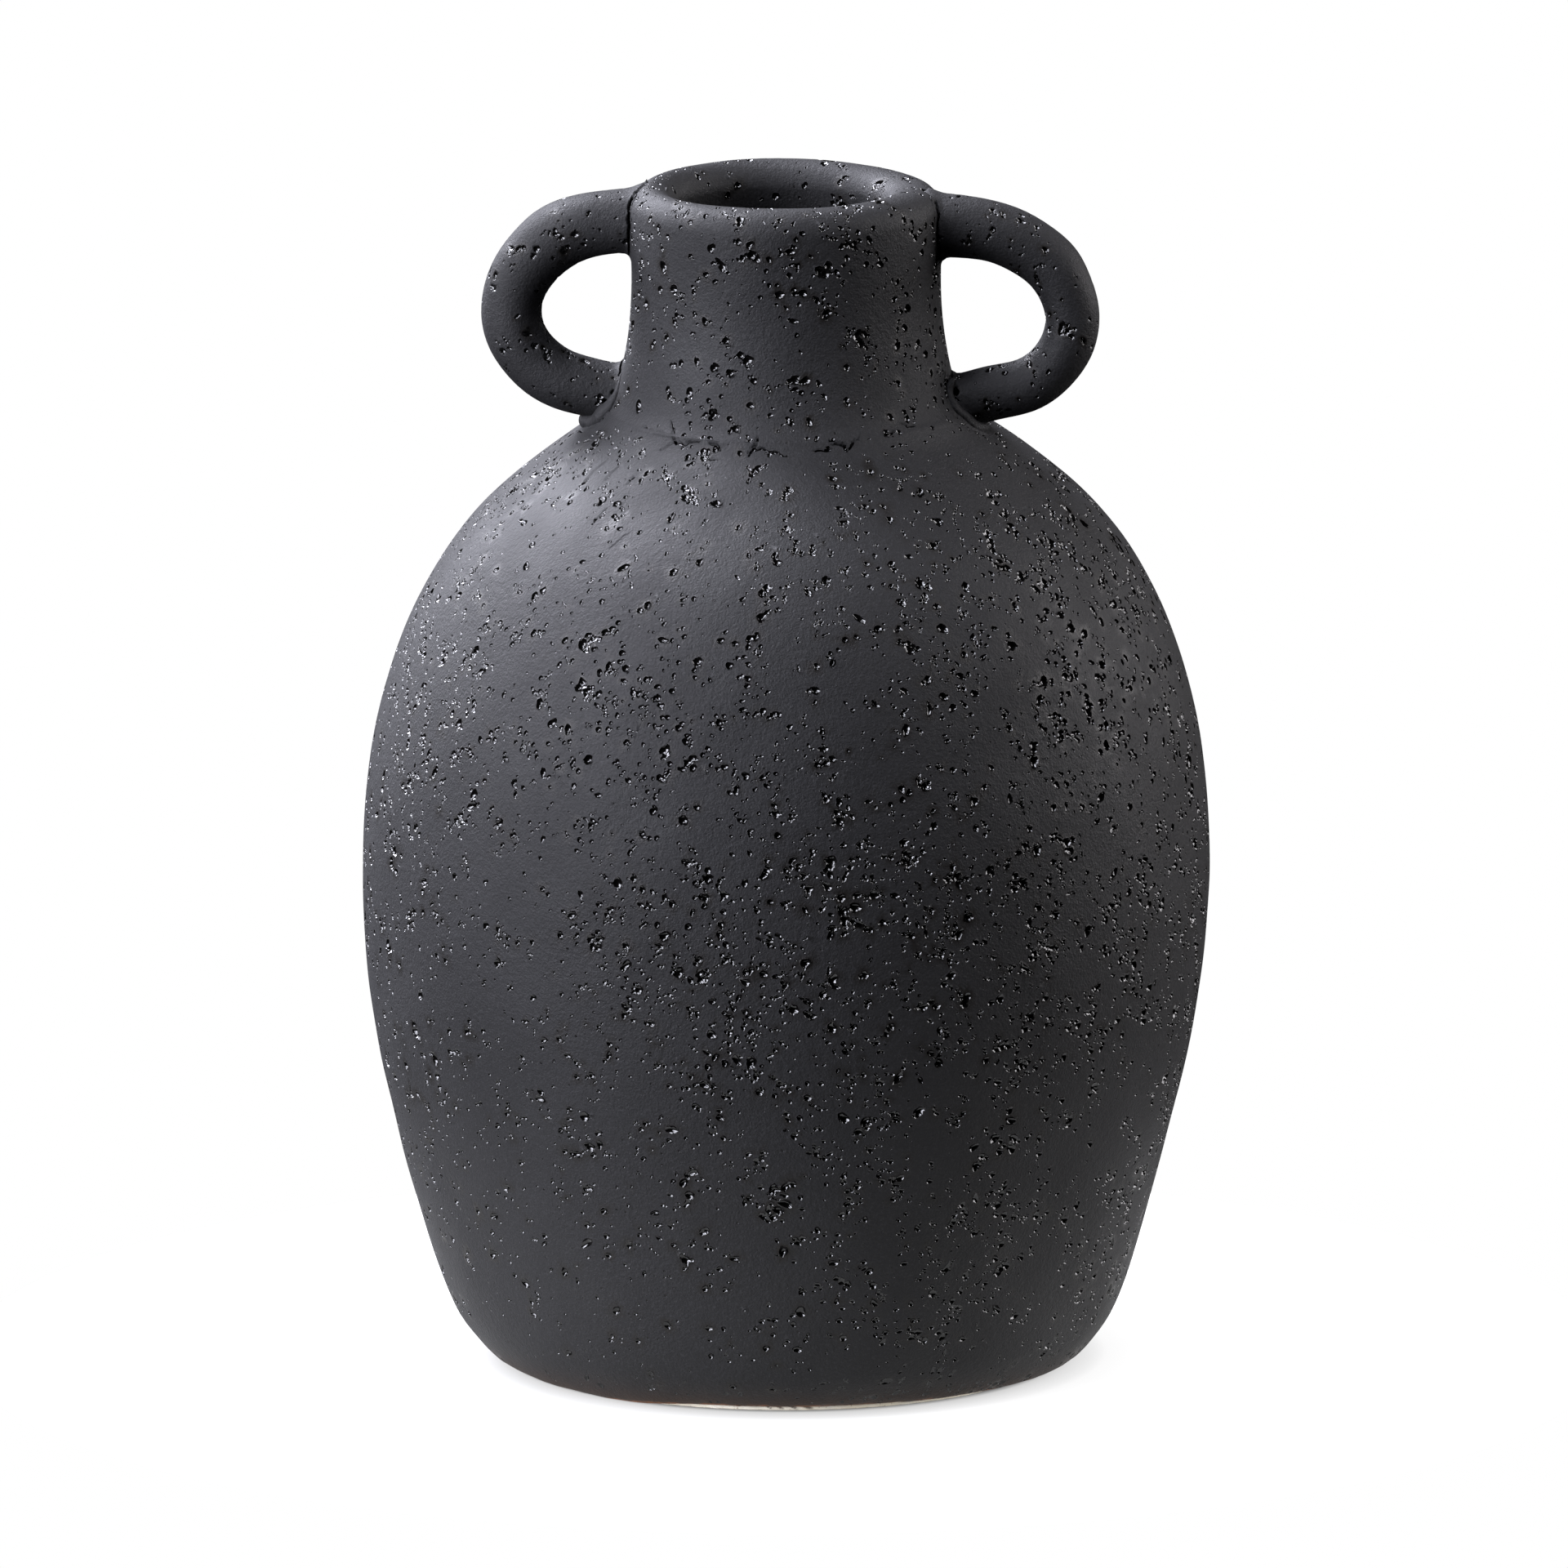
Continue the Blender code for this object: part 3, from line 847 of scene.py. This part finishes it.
class Cracks:
    def __init__(self, lines):
        self.lines = lines

    def press(self, place):
        sink, wet = np.zeros(len(place)), np.zeros(len(place))
        for width, depth, line in self.lines:
            line = np.asarray(line)
            low, high = line.min(0) - 1.0, line.max(0) + 1.0
            near = np.flatnonzero(((place > low) & (place < high)).all(1))
            if not len(near):
                continue
            dist, t = polyline_distance(place[near], line)
            taper = np.sqrt(np.clip(np.minimum(t, 1 - t) * 7, 0.04, 1))
            w = width * taper
            sink[near] = np.minimum(sink[near], -depth * taper * np.clip(1 - (dist / w) ** 2, 0, 1))
            wet[near] = np.maximum(wet[near], (1 - smoothstep(0.7, 1.15, dist / w)) * 0.96)
        return sink, wet

    def points(self, to_plane):
        """(angle, v) rows of points along each crack: its bottom, its lips and the skin beside it."""
        ang, v = [], []
        for width, depth, line in self.lines:
            line = np.asarray(line)
            step = np.linalg.norm(np.diff(line, axis=0), axis=1)
            s = np.concatenate([[0], np.cumsum(step)])
            at = np.linspace(0, s[-1], max(4, int(s[-1] / 0.22)))
            a, b = to_plane(np.stack([np.interp(at, s, line[:, k]) for k in range(3)], 1))
            da, db = np.gradient(a), np.gradient(b)
            size = np.hypot(da, db) + 1e-12
            da, db = da / size, db / size
            t = at / s[-1]
            taper = np.sqrt(np.clip(np.minimum(t, 1 - t) * 7, 0.04, 1))
            for share in (-2.6, -1.15, -0.6, 0, 0.6, 1.15, 2.6):
                far = share * width * taper / 30.0
                ang.append(a - db * far)
                v.append(b + da * far)
        return np.concatenate(ang), np.concatenate(v)


def turned_plane(surface, outer=True):
    def to_plane(p):
        top = int(np.argmax(surface.z)) if outer else len(surface.z) - 1
        return np.arctan2(p[:, 1], p[:, 0]), np.interp(p[:, 2], surface.z[: top + 1], surface.v[: top + 1])
    return to_plane


# ------------------------------------------------------------------ building the pieces

SEAM = math.radians(90)  # the meshes' seams face the back


def turned(angle):
    return (angle + SEAM + np.pi) % (2 * np.pi) - np.pi


class Spun:
    """A turned surface whose (angle, v) sheet is cut at the back of the vase."""

    def __init__(self, surface):
        self.surface = surface

    def at(self, ang, v):
        return self.surface.at(ang - SEAM, v)

    def scale(self, v):
        return self.surface.scale(v)


def pitted(surface, pits, v_low, v_high, gap, around, extra=None, cracks=None, bend=None, finer=None):
    """Points, triangles, sheet coordinates and marks of a pitted surface."""
    ang, v = lattice(surface, v_low, v_high, gap, around, finer)
    ang, v = without_near(surface, ang, v, pits)
    pa, pv = pits.ring_points(surface, RINGS)
    more_a, more_v = [ang, pa], [v, pv]
    if extra is not None:
        more_a.append(extra[0])
        more_v.append(extra[1])
    ang, v = np.concatenate(more_a), np.concatenate(more_v)
    inside = (np.abs(ang) <= np.pi + 1e-9) & (v >= v_low - 1e-9) & (v <= v_high + 1e-9)
    ang, v = ang[inside], v[inside]
    grain = 0.05 / float(surface.scale(0.5 * (v_low + v_high)))
    _, first = np.unique(np.round(np.stack([ang, v], 1) / grain).astype(np.int64), axis=0, return_index=True)
    border = np.flatnonzero((np.abs(ang) > np.pi - 1e-6) | (v < v_low + 1e-9) | (v > v_high - 1e-9))
    chosen = np.unique(np.concatenate([first, border]))
    ang, v, faces = triangulated(ang[chosen], v[chosen])
    place, normal, along, up = surface.at(ang, v)
    sink, wet, stain, tilt = pits.press(place)
    if cracks is not None:
        c_sink, c_wet = cracks.press(place)
        sink = np.minimum(sink, c_sink)
        wet = np.maximum(wet, c_wet)
    bend = bend or uneven
    rows = (v < v_low + 1e-9) | (v > v_high - 1e-9)  # the sheet's border stays true, so that the closing strips meet it
    h, step = bend(place), 0.3
    skin = normal + tilt
    for way in (along, up):
        slope = (bend(place + step * way) - bend(place - step * way)) / (2 * step)
        skin = skin - slope[:, None] * way
    skin = unit(np.where(rows[:, None], normal, skin))
    place = place + np.where(rows, 0, sink + h)[:, None] * normal
    a, b, c = place[faces[:, 0]], place[faces[:, 1]], place[faces[:, 2]]
    if np.median((np.cross(b - a, c - a) * normal[faces[:, 0]]).sum(1)) < 0:
        faces = faces[:, ::-1]
    uv = np.stack([(ang + np.pi) / (2 * np.pi), (v - v_low) / (v_high - v_low)], 1)
    return place, faces, uv, np.where(rows, 0, wet), np.where(rows, 0, stain), skin


def finish_piece(obj, node):
    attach(obj, "root")
    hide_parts(node)
    return obj


handle_coils = {side: build_coil_surface(side) for side in (-1, 1)}


# how far each wad spreads from its coil, in millimetres, against the turn round the coil from its front to its underside
WAD_REACH = {
    -1: ([-84, -36, -13, 10, 33, 56, 79, 110, 150, 216], [0.5, 0.9, 1.7, 2.9, 3.0, 2.3, 1.5, 1.4, 1.2, 0.8]),
    1: ([-84, -52, -30, -8, 14, 37, 59, 82, 120, 230], [0.8, 1.6, 2.1, 2.6, 2.6, 2.2, 1.7, 1.4, 1.2, 0.9]),
}


def wad_reach(side, turns):
    """turns run from the viewer's side of the coil, as for root_line."""
    at, reach = WAD_REACH[side]
    return np.interp(-side * np.asarray(turns, float), at, reach)


def wad_line(side, turns, beyond=0.0, share=1.0):
    turns = np.asarray(turns)
    near, far = root_line(side, False, turns, 0.05, 0.0), root_line(side, False, turns, 0.05, 1.0)
    line = near + (far - near) * (share * wad_reach(side, turns) + beyond)[:, None]
    for _ in range(3):
        line[1:-1] = 0.25 * line[:-2] + 0.5 * line[1:-1] + 0.25 * line[2:]
    return on_vase(line)


def root_cracks():
    """Open seams beside the handles' roots, on the vase: (half width, depth, line)."""
    found = [
        (0.34, 1.4, wad_line(-1, range(-60, 84, 6), 0.42)),
        (0.34, 1.4, wad_line(1, range(60, -66, -6), 0.42)),
    ]
    return [(w, d, jagged(line, 0.05)) for w, d, line in found]


def coil_seams(side):
    """Open seams on a coil where it meets the vase: (half width, depth, line), and the mesh points they need."""
    found, more_a, more_v = [], [], []
    coil = handle_coils[side]
    runs = [(True, (100, -84) if side < 0 else (70, -60), 0.30 if side < 0 else 0.24), (False, (-100, -40) if side < 0 else (100, 60), 0.24)]
    for upper, (begin, end), width in runs:
        turns = np.arange(begin, end, 2 if end > begin else -2)
        v = np.linspace(0, coil.v[-1] * 0.34, 900)
        if not upper:
            v = coil.v[-1] - v
        line = []
        for turn in turns:
            t = math.radians(turn)
            t = (t + np.pi) % (2 * np.pi) - np.pi
            place, *_ = coil.at(np.full(len(v), t), v)
            depth = vase_depth(place)
            for level in (-0.25, -0.08, 0.06, 0.18, 0.30, 0.42, 0.55, 0.75, 1.0):
                hit = np.flatnonzero(depth > level)
                if len(hit):
                    more_a.append(t)
                    more_v.append(v[hit[0]])
            hit = np.flatnonzero(depth > 0.24)
            line.append(place[hit[0]])
        line = np.array(line)
        line = line + 0.05 * np.stack([jag_a(line), 0 * line[:, 0], jag_b(line)], 1)
        found.append((width, 1.1, line))
    return found, np.array(more_a), np.array(more_v)


def build_body():
    rng = np.random.default_rng(101)
    surface = Spun(body_surface)
    v0, v1 = body_surface.v[0], body_surface.v[-1]
    pits = Pits(surface, rng, 0.50, v0, v1, crowd_body)
    lines = front_lines([c for c in JOINT_CRACKS + SHOULDER_CRACKS if min(h for _, h in c[2]) < 0.2])
    cracks = Cracks(lines + [line for line in root_cracks() if line[2][:, 2].min() < SEAT + 0.5])
    plane = turned_plane(body_surface)
    ea, ev = cracks.points(lambda p: plane(p))
    around = 200
    skin = Skin()
    place, faces, uv, wet, stain, normal = pitted(surface, pits, v0, v1, 1.7, around, extra=(turned(ea), ev), cracks=cracks)
    skin.add(place, faces, uv * [0.9, 0.62] + [0.05, 0.34], wet, stain, normal)
    # inside: seat, cavity and the rebate round the slab
    outer = body_surface
    wall = 5.6
    inside = np.stack([outer.r - wall * outer.tz, outer.z + wall * outer.tr], 1)
    inside = inside[(inside[:, 1] > 15) & (inside[:, 0] > BORE + 8)][::-12]
    rebate = SLAB_HIGH[0] + 0.3
    profile = [(outer.r[-1], outer.z[-1]), (BORE, outer.z[-1]), (BORE, outer.z[-1] - 4.6), (BORE + 1.6, outer.z[-1] - 6.2)]
    profile += [tuple(p) for p in inside]
    profile += [(rebate + 3.2, 10.4), (rebate, 7.6), (rebate, outer.z[0]), (outer.r[0], outer.z[0])]
    points, strip = ring_strip(profile, around)
    turn = np.array([[math.cos(-SEAM), -math.sin(-SEAM), 0], [math.sin(-SEAM), math.cos(-SEAM), 0], [0, 0, 1]])
    points = points @ turn.T
    cols = around + 1
    su = np.tile(np.arange(cols) / around, len(profile))
    sv = np.repeat(np.linspace(0, 1, len(profile)), cols)
    skin.add(points, strip, np.stack([su * 0.9 + 0.05, sv * 0.28 + 0.02], 1))
    obj = skin.build("body_stoneware", [glaze, wet_glaze], 1, edge=body_surface.z[0])
    return obj


def foot_line(ang):
    """The height of the glaze's lower edge, by bearing in degrees."""
    at = np.array([-180, -125, -116, -112, -108, -103, -98, -88, -78, -61, -41, -25, 0, 60, 180])
    height = [0.40, 0.34, 0.40, 0.55, 0.98, 1.34, 1.42, 1.38, 1.18, 1.00, 0.80, 0.46, 0.36, 0.42, 0.40]
    return np.interp(ang, at, height) + 0.03 * np.sin(ang * 0.37) + 0.02 * np.sin(ang * 0.9 + 1.0)


def lean(obj, mouth=False, foot=False):
    co = np.empty(len(obj.data.vertices) * 3, np.float32)
    obj.data.vertices.foreach_get("co", co)
    co = co.reshape(-1, 3) / MM
    if mouth:  # the mouth is a little left of the middle, so the lip is thicker on the right
        rho = np.hypot(co[:, 0], co[:, 1])
        co[:, 0] -= 1.2 * smoothstep(25.5, 19.0, rho) * smoothstep(TOP - 22, TOP - 5, co[:, 2])
    if foot:  # the glaze line undulates, and stands highest a little left of the front
        w = smoothstep(7.0, 1.4, co[:, 2]) * smoothstep(45, 48, np.hypot(co[:, 0], co[:, 1]))
        ang = np.degrees(np.arctan2(co[:, 1], co[:, 0]))
        co[:, 2] += w * (foot_line(ang) - 1.25)
    co[:, 0] += drift(co[:, 2])
    obj.data.vertices.foreach_set("co", (co * MM).astype(np.float32).ravel())
    obj.data.update()


def build_neck():
    rng = np.random.default_rng(202)
    surface = Spun(neck_surface)
    v0, v1 = neck_surface.v[0], neck_surface.v[-1]
    v_in = neck_surface.v_at_height(TOP - 26, first=False)
    pits = Pits(surface, rng, 0.56, v0, v_in, crowd_neck)
    lines = front_lines([c for c in JOINT_CRACKS if max(h for _, h in c[2]) > 0.2])
    lines += [line for line in root_cracks() if line[2][:, 2].max() > SEAT - 0.5]
    cracks = Cracks(lines)
    plane = turned_plane(neck_surface)
    ea, ev = cracks.points(lambda p: plane(p))
    around = 120
    place, faces, uv, wet, stain, normal = pitted(surface, pits, v0, v1, 1.05, around, extra=(turned(ea), ev), cracks=cracks)
    skin = Skin()
    skin.add(place, faces, uv * [0.96, 0.92] + [0.02, 0.06], wet, stain, normal)
    points, strip = ring_strip([(neck_surface.r[-1], neck_surface.z[-1]), (neck_surface.r[0], neck_surface.z[0])], around)
    turn = np.array([[math.cos(-SEAM), -math.sin(-SEAM), 0], [math.sin(-SEAM), math.cos(-SEAM), 0], [0, 0, 1]])
    cols = around + 1
    uv_strip = np.stack([np.tile(np.arange(cols) / around, 2), np.repeat([0.0, 0.03], cols)], 1)
    skin.add(points @ turn.T, strip, uv_strip)
    return skin.build("neck_stoneware", [glaze, wet_glaze], 1)


def build_handle(side):
    rng = np.random.default_rng(300 + side)
    coil = handle_coils[side]
    v0, v1 = 0.0, coil.v[-1]
    pits = Pits(coil, rng, 0.40, v0 + 0.6, v1 - 0.6, crowd_handle, largest=0.7, clear_seam=0.05)
    around = 44
    seams, more_a, more_v = coil_seams(side)
    place, faces, uv, wet, stain, normal = pitted(
        coil, pits, v0, v1, 0.85, around, extra=(more_a, more_v), cracks=Cracks(seams), bend=lambda p: 0.07 * middling(p) + 0.10 * small(p + 40.0 * side)
    )
    skin = Skin()
    skin.add(place, faces, uv, wet, stain)
    for end, v in ((0, v0), (1, v1)):
        turn = -np.pi + 2 * np.pi * np.arange(around + 1) / around
        ring, *_ = coil.at(turn, np.full(around + 1, v))
        centre = ring[:-1].mean(0)
        points = np.concatenate([ring, centre[None]])
        k = np.arange(around)
        fan = np.stack([k, k + 1, np.full(around, around + 1)], 1)
        if end == 1:
            fan = fan[:, ::-1]
        skin.add(points, fan, np.full((around + 2, 2), 0.5) + 0.01 * np.stack([np.r_[np.cos(turn), 0], np.r_[np.sin(turn), 0]], 1))
    name = "left_handle_coil" if side < 0 else "right_handle_coil"
    obj = skin.build(name, [glaze, wet_glaze], 1)
    return obj


def rope(path, radius, around, flat=1.0, bend=None):
    """A closed roll of clay along a 3-D path: points, triangles and sheet coordinates."""
    t = np.gradient(path, axis=0)
    t /= np.linalg.norm(t, axis=1)[:, None]
    out = path * [1, 1, 0]
    out /= np.linalg.norm(out, axis=1)[:, None]
    side = np.cross(t, out)
    side /= np.linalg.norm(side, axis=1)[:, None]
    out = np.cross(side, t)
    turn = 2 * np.pi * np.arange(around + 1) / around
    ring = np.cos(turn)[None, :, None] * out[:, None] * flat + np.sin(turn)[None, :, None] * side[:, None]
    points = (path[:, None] + ring * radius[:, None, None]).reshape(-1, 3)
    if bend is not None:
        normal = ring.reshape(-1, 3)
        points = points + bend(points)[:, None] * normal / np.linalg.norm(normal, axis=1)[:, None]
    points = points.reshape(len(path), around + 1, 3)
    points[:, -1] = points[:, 0]
    points = points.reshape(-1, 3)
    faces = grid_faces(len(path), around + 1)
    u, v = np.meshgrid(np.linspace(0.02, 0.98, around + 1), np.linspace(0.02, 0.98, len(path)))
    uv = np.stack([v.ravel(), u.ravel()], 1)
    n = len(points)
    caps = []
    for row, order in ((0, 1), (len(path) - 1, -1)):
        k = row * (around + 1) + np.arange(around)
        caps.append(np.stack([k, k + 1, np.full(around, n + (row > 0))], 1)[:, ::order])
    points = np.concatenate([points, path[[0, -1]]])
    uv = np.concatenate([uv, [[0.01, 0.01], [0.99, 0.99]]])
    return points, np.concatenate([faces[:, ::-1]] + [c[:, ::-1] for c in caps][:0] + caps), uv


def build_wad(side):
    """The roll of clay pressed into the corner round the handle's lower root, with a ledge at its tip."""
    turns = np.arange(-48, 216, 4) if side < 0 else np.arange(50, -230, -4)
    near, far = root_line(side, False, turns, 0.05, 0.0), root_line(side, False, turns, 0.05, 1.0)
    reach = wad_reach(side, turns)
    half = 0.38 * reach + 0.40
    line = on_vase(near + (far - near) * (reach - half)[:, None])
    for _ in range(4):
        line[1:-1] = 0.25 * line[:-2] + 0.5 * line[1:-1] + 0.25 * line[2:]
    step = np.concatenate([[0], np.cumsum(np.linalg.norm(np.diff(line, axis=0), axis=1))])
    at = np.linspace(0, step[-1], 170)
    path = np.stack([np.interp(at, step, line[:, k]) for k in range(3)], 1)
    t = at / step[-1]
    tip_t = np.interp(np.radians(-side * 88.0), np.radians(turns * -side), step / step[-1]) if side > 0 else np.interp(88.0, turns, step / step[-1])
    tip = np.exp(-(((t - tip_t) / 0.06) ** 2))
    radius = np.interp(at, step, half)
    radius = radius * np.clip(np.sin(np.pi * np.linspace(0.01, 0.99, len(t))), 0, 1) ** 0.35 * (1 + 0.3 * tip)
    radius = radius * (1 + 0.08 * small(path * 3))
    path = path + tip[:, None] * [side * 1.0, 0, 0.15]
    points, faces, uv = rope(path, radius, 20, flat=0.8, bend=lambda p: 0.07 * small(p * 2.2) + 0.035 * small(p * 6))
    skin = Skin()
    skin.add(points, faces, uv)
    obj = skin.build("left_root_wad_roll" if side < 0 else "right_root_wad_roll", [glaze, wet_glaze, painted_ledge_light], 1)
    if side < 0:  # painted light: the ledge's faces that turn outwards and not down, towards the lamps, get a pale tan
        tip_at = path[np.argmax(tip)]
        for face in obj.data.polygons:
            c = np.array(face.center) / MM
            if face.normal.x * side > 0.25 and face.normal.z > -0.35 and abs(c[1] - tip_at[1]) < 2.2 and small(c[None] * 5)[0] > -0.8:
                face.material_index = 2
    return obj


def build_slab():
    """The unglazed disc in the foot, its edge just seen as a cream line, with tool marks across it."""
    r, top = SLAB_HIGH[0], SLAB_HIGH[2]
    profile = [(0.01, 0.0)] + [(x, 0.0) for x in np.linspace(4, r - 1.2, 22)] + [
        (r - 0.75, 0.03), (r - 0.35, 0.12), (r - 0.12, 0.26), (r, 0.42), (r, 0.6), (r, 0.8), (r, 1.0), (r, 1.25), (r, 1.6), (r, 3.0), (r, top - 0.4), (r - 0.5, top), (r * 0.5, top), (0.01, top),
    ]
    around = 720
    points, faces = ring_strip(profile, around)
    uv = np.stack([0.5 + points[:, 0] / (r * 2.1) * np.where(points[:, 2] > 2, 0.5, 1), 0.5 + points[:, 1] / (r * 2.1)], 1)
    ang = np.degrees(np.arctan2(points[:, 1], points[:, 0]))
    rho = np.hypot(points[:, 0], points[:, 1])
    squeeze = smoothstep(-122, -110, ang) * smoothstep(-30, -44, ang) * smoothstep(r - 3.2, r - 1.0, rho)
    squeeze *= smoothstep(0.0, -0.10, points[:, 2] - np.minimum(foot_line(ang) - 0.10, 0.9))
    points[:, :2] *= (1 + (1.15 * squeeze + 0.06 * squeeze * np.sin(ang * 1.7)) / rho)[:, None]
    across = (ang + 83.5) * 0.85 + (points[:, 2] - 0.5) * 1.6  # millimetres along the edge, slanting
    smear = sum(np.exp(-(((across - c) / w) ** 2)) for c, w in ((-3.4, 0.35), (-1.5, 0.55), (0.9, 0.5), (3.4, 0.8)))
    smear = smear * smoothstep(0.15, 0.55, points[:, 2]) * (rho > r - 1.0)
    skin = Skin()
    skin.add(points, faces, uv, stain=smear)
    return skin.build("base_slab_disc", [clay])


body = build_body()
lean(body, foot=True)
finish_piece(body, "body")
neck = build_neck()
lean(neck, mouth=True)
finish_piece(neck, "neck")
for side, which in ((-1, "left"), (1, "right")):
    handle = build_handle(side)
    lean(handle)
    finish_piece(handle, which + "_handle")
    wad = build_wad(side)
    lean(wad)
    finish_piece(wad, which + "_root_wad")
slab = build_slab()
finish_piece(slab, "base_slab")


# ------------------------------------------------------------------ studio

# Round softboxes 1.5 m from the vase: bearing from the camera's side (degrees, + to the right), height, watts
SOFTBOXES = [
    (-135, 36, 51.0), (-135, 60, 37.0), (-60, 12, 21.0), (-30, 60, 17.5), (-75, 12, 14.7), (-60, 36, 13.5), (90, 36, 12.5),
    (-45, 12, 12.0), (90, 12, 8.8), (-75, 36, 7.5), (-135, 12, 7.4), (105, 12, 6.0), (120, 12, 5.9),
]
BEARING = 5.5  # where the camera stands, degrees round from the front


def softbox(bearing, height, watts):
    a, e = math.radians(bearing + BEARING), math.radians(height)
    centre = Vector((0, 0, 0.1))
    data = bpy.data.lights.new("softbox", "AREA")
    data.shape = "DISK"
    data.size = 0.62
    data.energy = watts
    data.color = (0.97, 0.98, 1.10) if bearing < 0 else (1.02, 0.99, 1.02)
    obj = bpy.data.objects.new("softbox", data)
    obj.location = centre + 1.5 * Vector((math.sin(a) * math.cos(e), -math.cos(a) * math.cos(e), math.sin(e)))
    obj.rotation_euler = (centre - obj.location).to_track_quat("-Z", "Y").to_euler()
    bpy.context.scene.collection.objects.link(obj)


def floor_painted_shadow_material():
    g = Graph("pale_floor_painted_contact_shadow")
    g.shader.inputs["Base Color"].default_value = (0.10, 0.10, 0.10, 1)
    g.shader.inputs["Roughness"].default_value = 0.9
    g.shader.inputs["Specular IOR Level"].default_value = 0.1
    g.shader.inputs["Emission Color"].default_value = (1, 1, 1, 1)
    # painted contact shadow: the floor's glow is dimmest at the slab's edge and rises in rings round the foot to an
    # even brightness further out
    away = g.node("ShaderNodeVectorMath", operation="LENGTH")
    g.wire(g.place(), away.inputs[0])
    glow_with_painted_shadow = g.ramp(away.outputs["Value"], 0.0464, 0.0484, 0.12, 0.62)
    glow_with_painted_shadow = g.maths("ADD", glow_with_painted_shadow, g.ramp(away.outputs["Value"], 0.0484, 0.0550, 0.0, 0.26))
    glow_with_painted_shadow = g.maths("ADD", glow_with_painted_shadow, g.ramp(away.outputs["Value"], 0.053, 0.075, 0.0, 0.20))
    g.wire(glow_with_painted_shadow, g.shader.inputs["Emission Strength"])
    return g.material


def build_studio():
    mesh = bpy.data.meshes.new("floor")
    turn = [2 * math.pi * k / 96 for k in range(96)]
    mesh.from_pydata([(0.14 * math.cos(t), 0.14 * math.sin(t), 0) for t in turn], [], [tuple(range(96))])
    floor = bpy.data.objects.new("floor", mesh)
    bpy.context.scene.collection.objects.link(floor)
    # the floor glows, with a painted contact shadow round the vase's foot
    mesh.materials.append(floor_painted_shadow_material())

    world = bpy.data.worlds.new("studio")
    bpy.context.scene.world = world
    world.use_nodes = True
    tree = world.node_tree
    back = tree.nodes["Background"]
    back.inputs["Color"].default_value = (1, 1, 1, 1)
    back.inputs["Strength"].default_value = 0.0
    seen = tree.nodes.new("ShaderNodeBackground")
    seen.inputs["Color"].default_value = (1, 1, 1, 1)
    seen.inputs["Strength"].default_value = 1.0
    path = tree.nodes.new("ShaderNodeLightPath")
    mix = tree.nodes.new("ShaderNodeMixShader")
    tree.links.new(path.outputs["Is Camera Ray"], mix.inputs[0])
    tree.links.new(back.outputs[0], mix.inputs[1])
    tree.links.new(seen.outputs[0], mix.inputs[2])
    tree.links.new(mix.outputs[0], tree.nodes["World Output"].inputs["Surface"])

    for bearing, height, watts in SOFTBOXES:
        softbox(bearing, height, watts)

    # Long lens, 12 degrees above the horizon; the right handle is turned a little towards the viewer
    azimuth, elevation, distance = math.radians(BEARING), math.radians(11.8), 6.6
    target = Vector((0, 0, 0.0989))
    way = Vector((math.sin(azimuth) * math.cos(elevation), -math.cos(azimuth) * math.cos(elevation), math.sin(elevation)))
    camera = bpy.data.cameras.new("camera")
    view = bpy.data.objects.new("camera", camera)
    bpy.context.scene.collection.objects.link(view)
    view.location = target + distance * way
    view.rotation_euler = (-way).to_track_quat("-Z", "Y").to_euler()
    camera.sensor_width = 36.0
    camera.lens = 36.0 * distance / 0.2672
    camera.shift_x = -0.0008
    camera.shift_y = 0.0
    camera.clip_end = 50
    bpy.context.scene.camera = view
    bpy.context.scene.view_settings.view_transform = "Standard"
    bpy.context.scene.view_settings.look = "None"


build_studio()
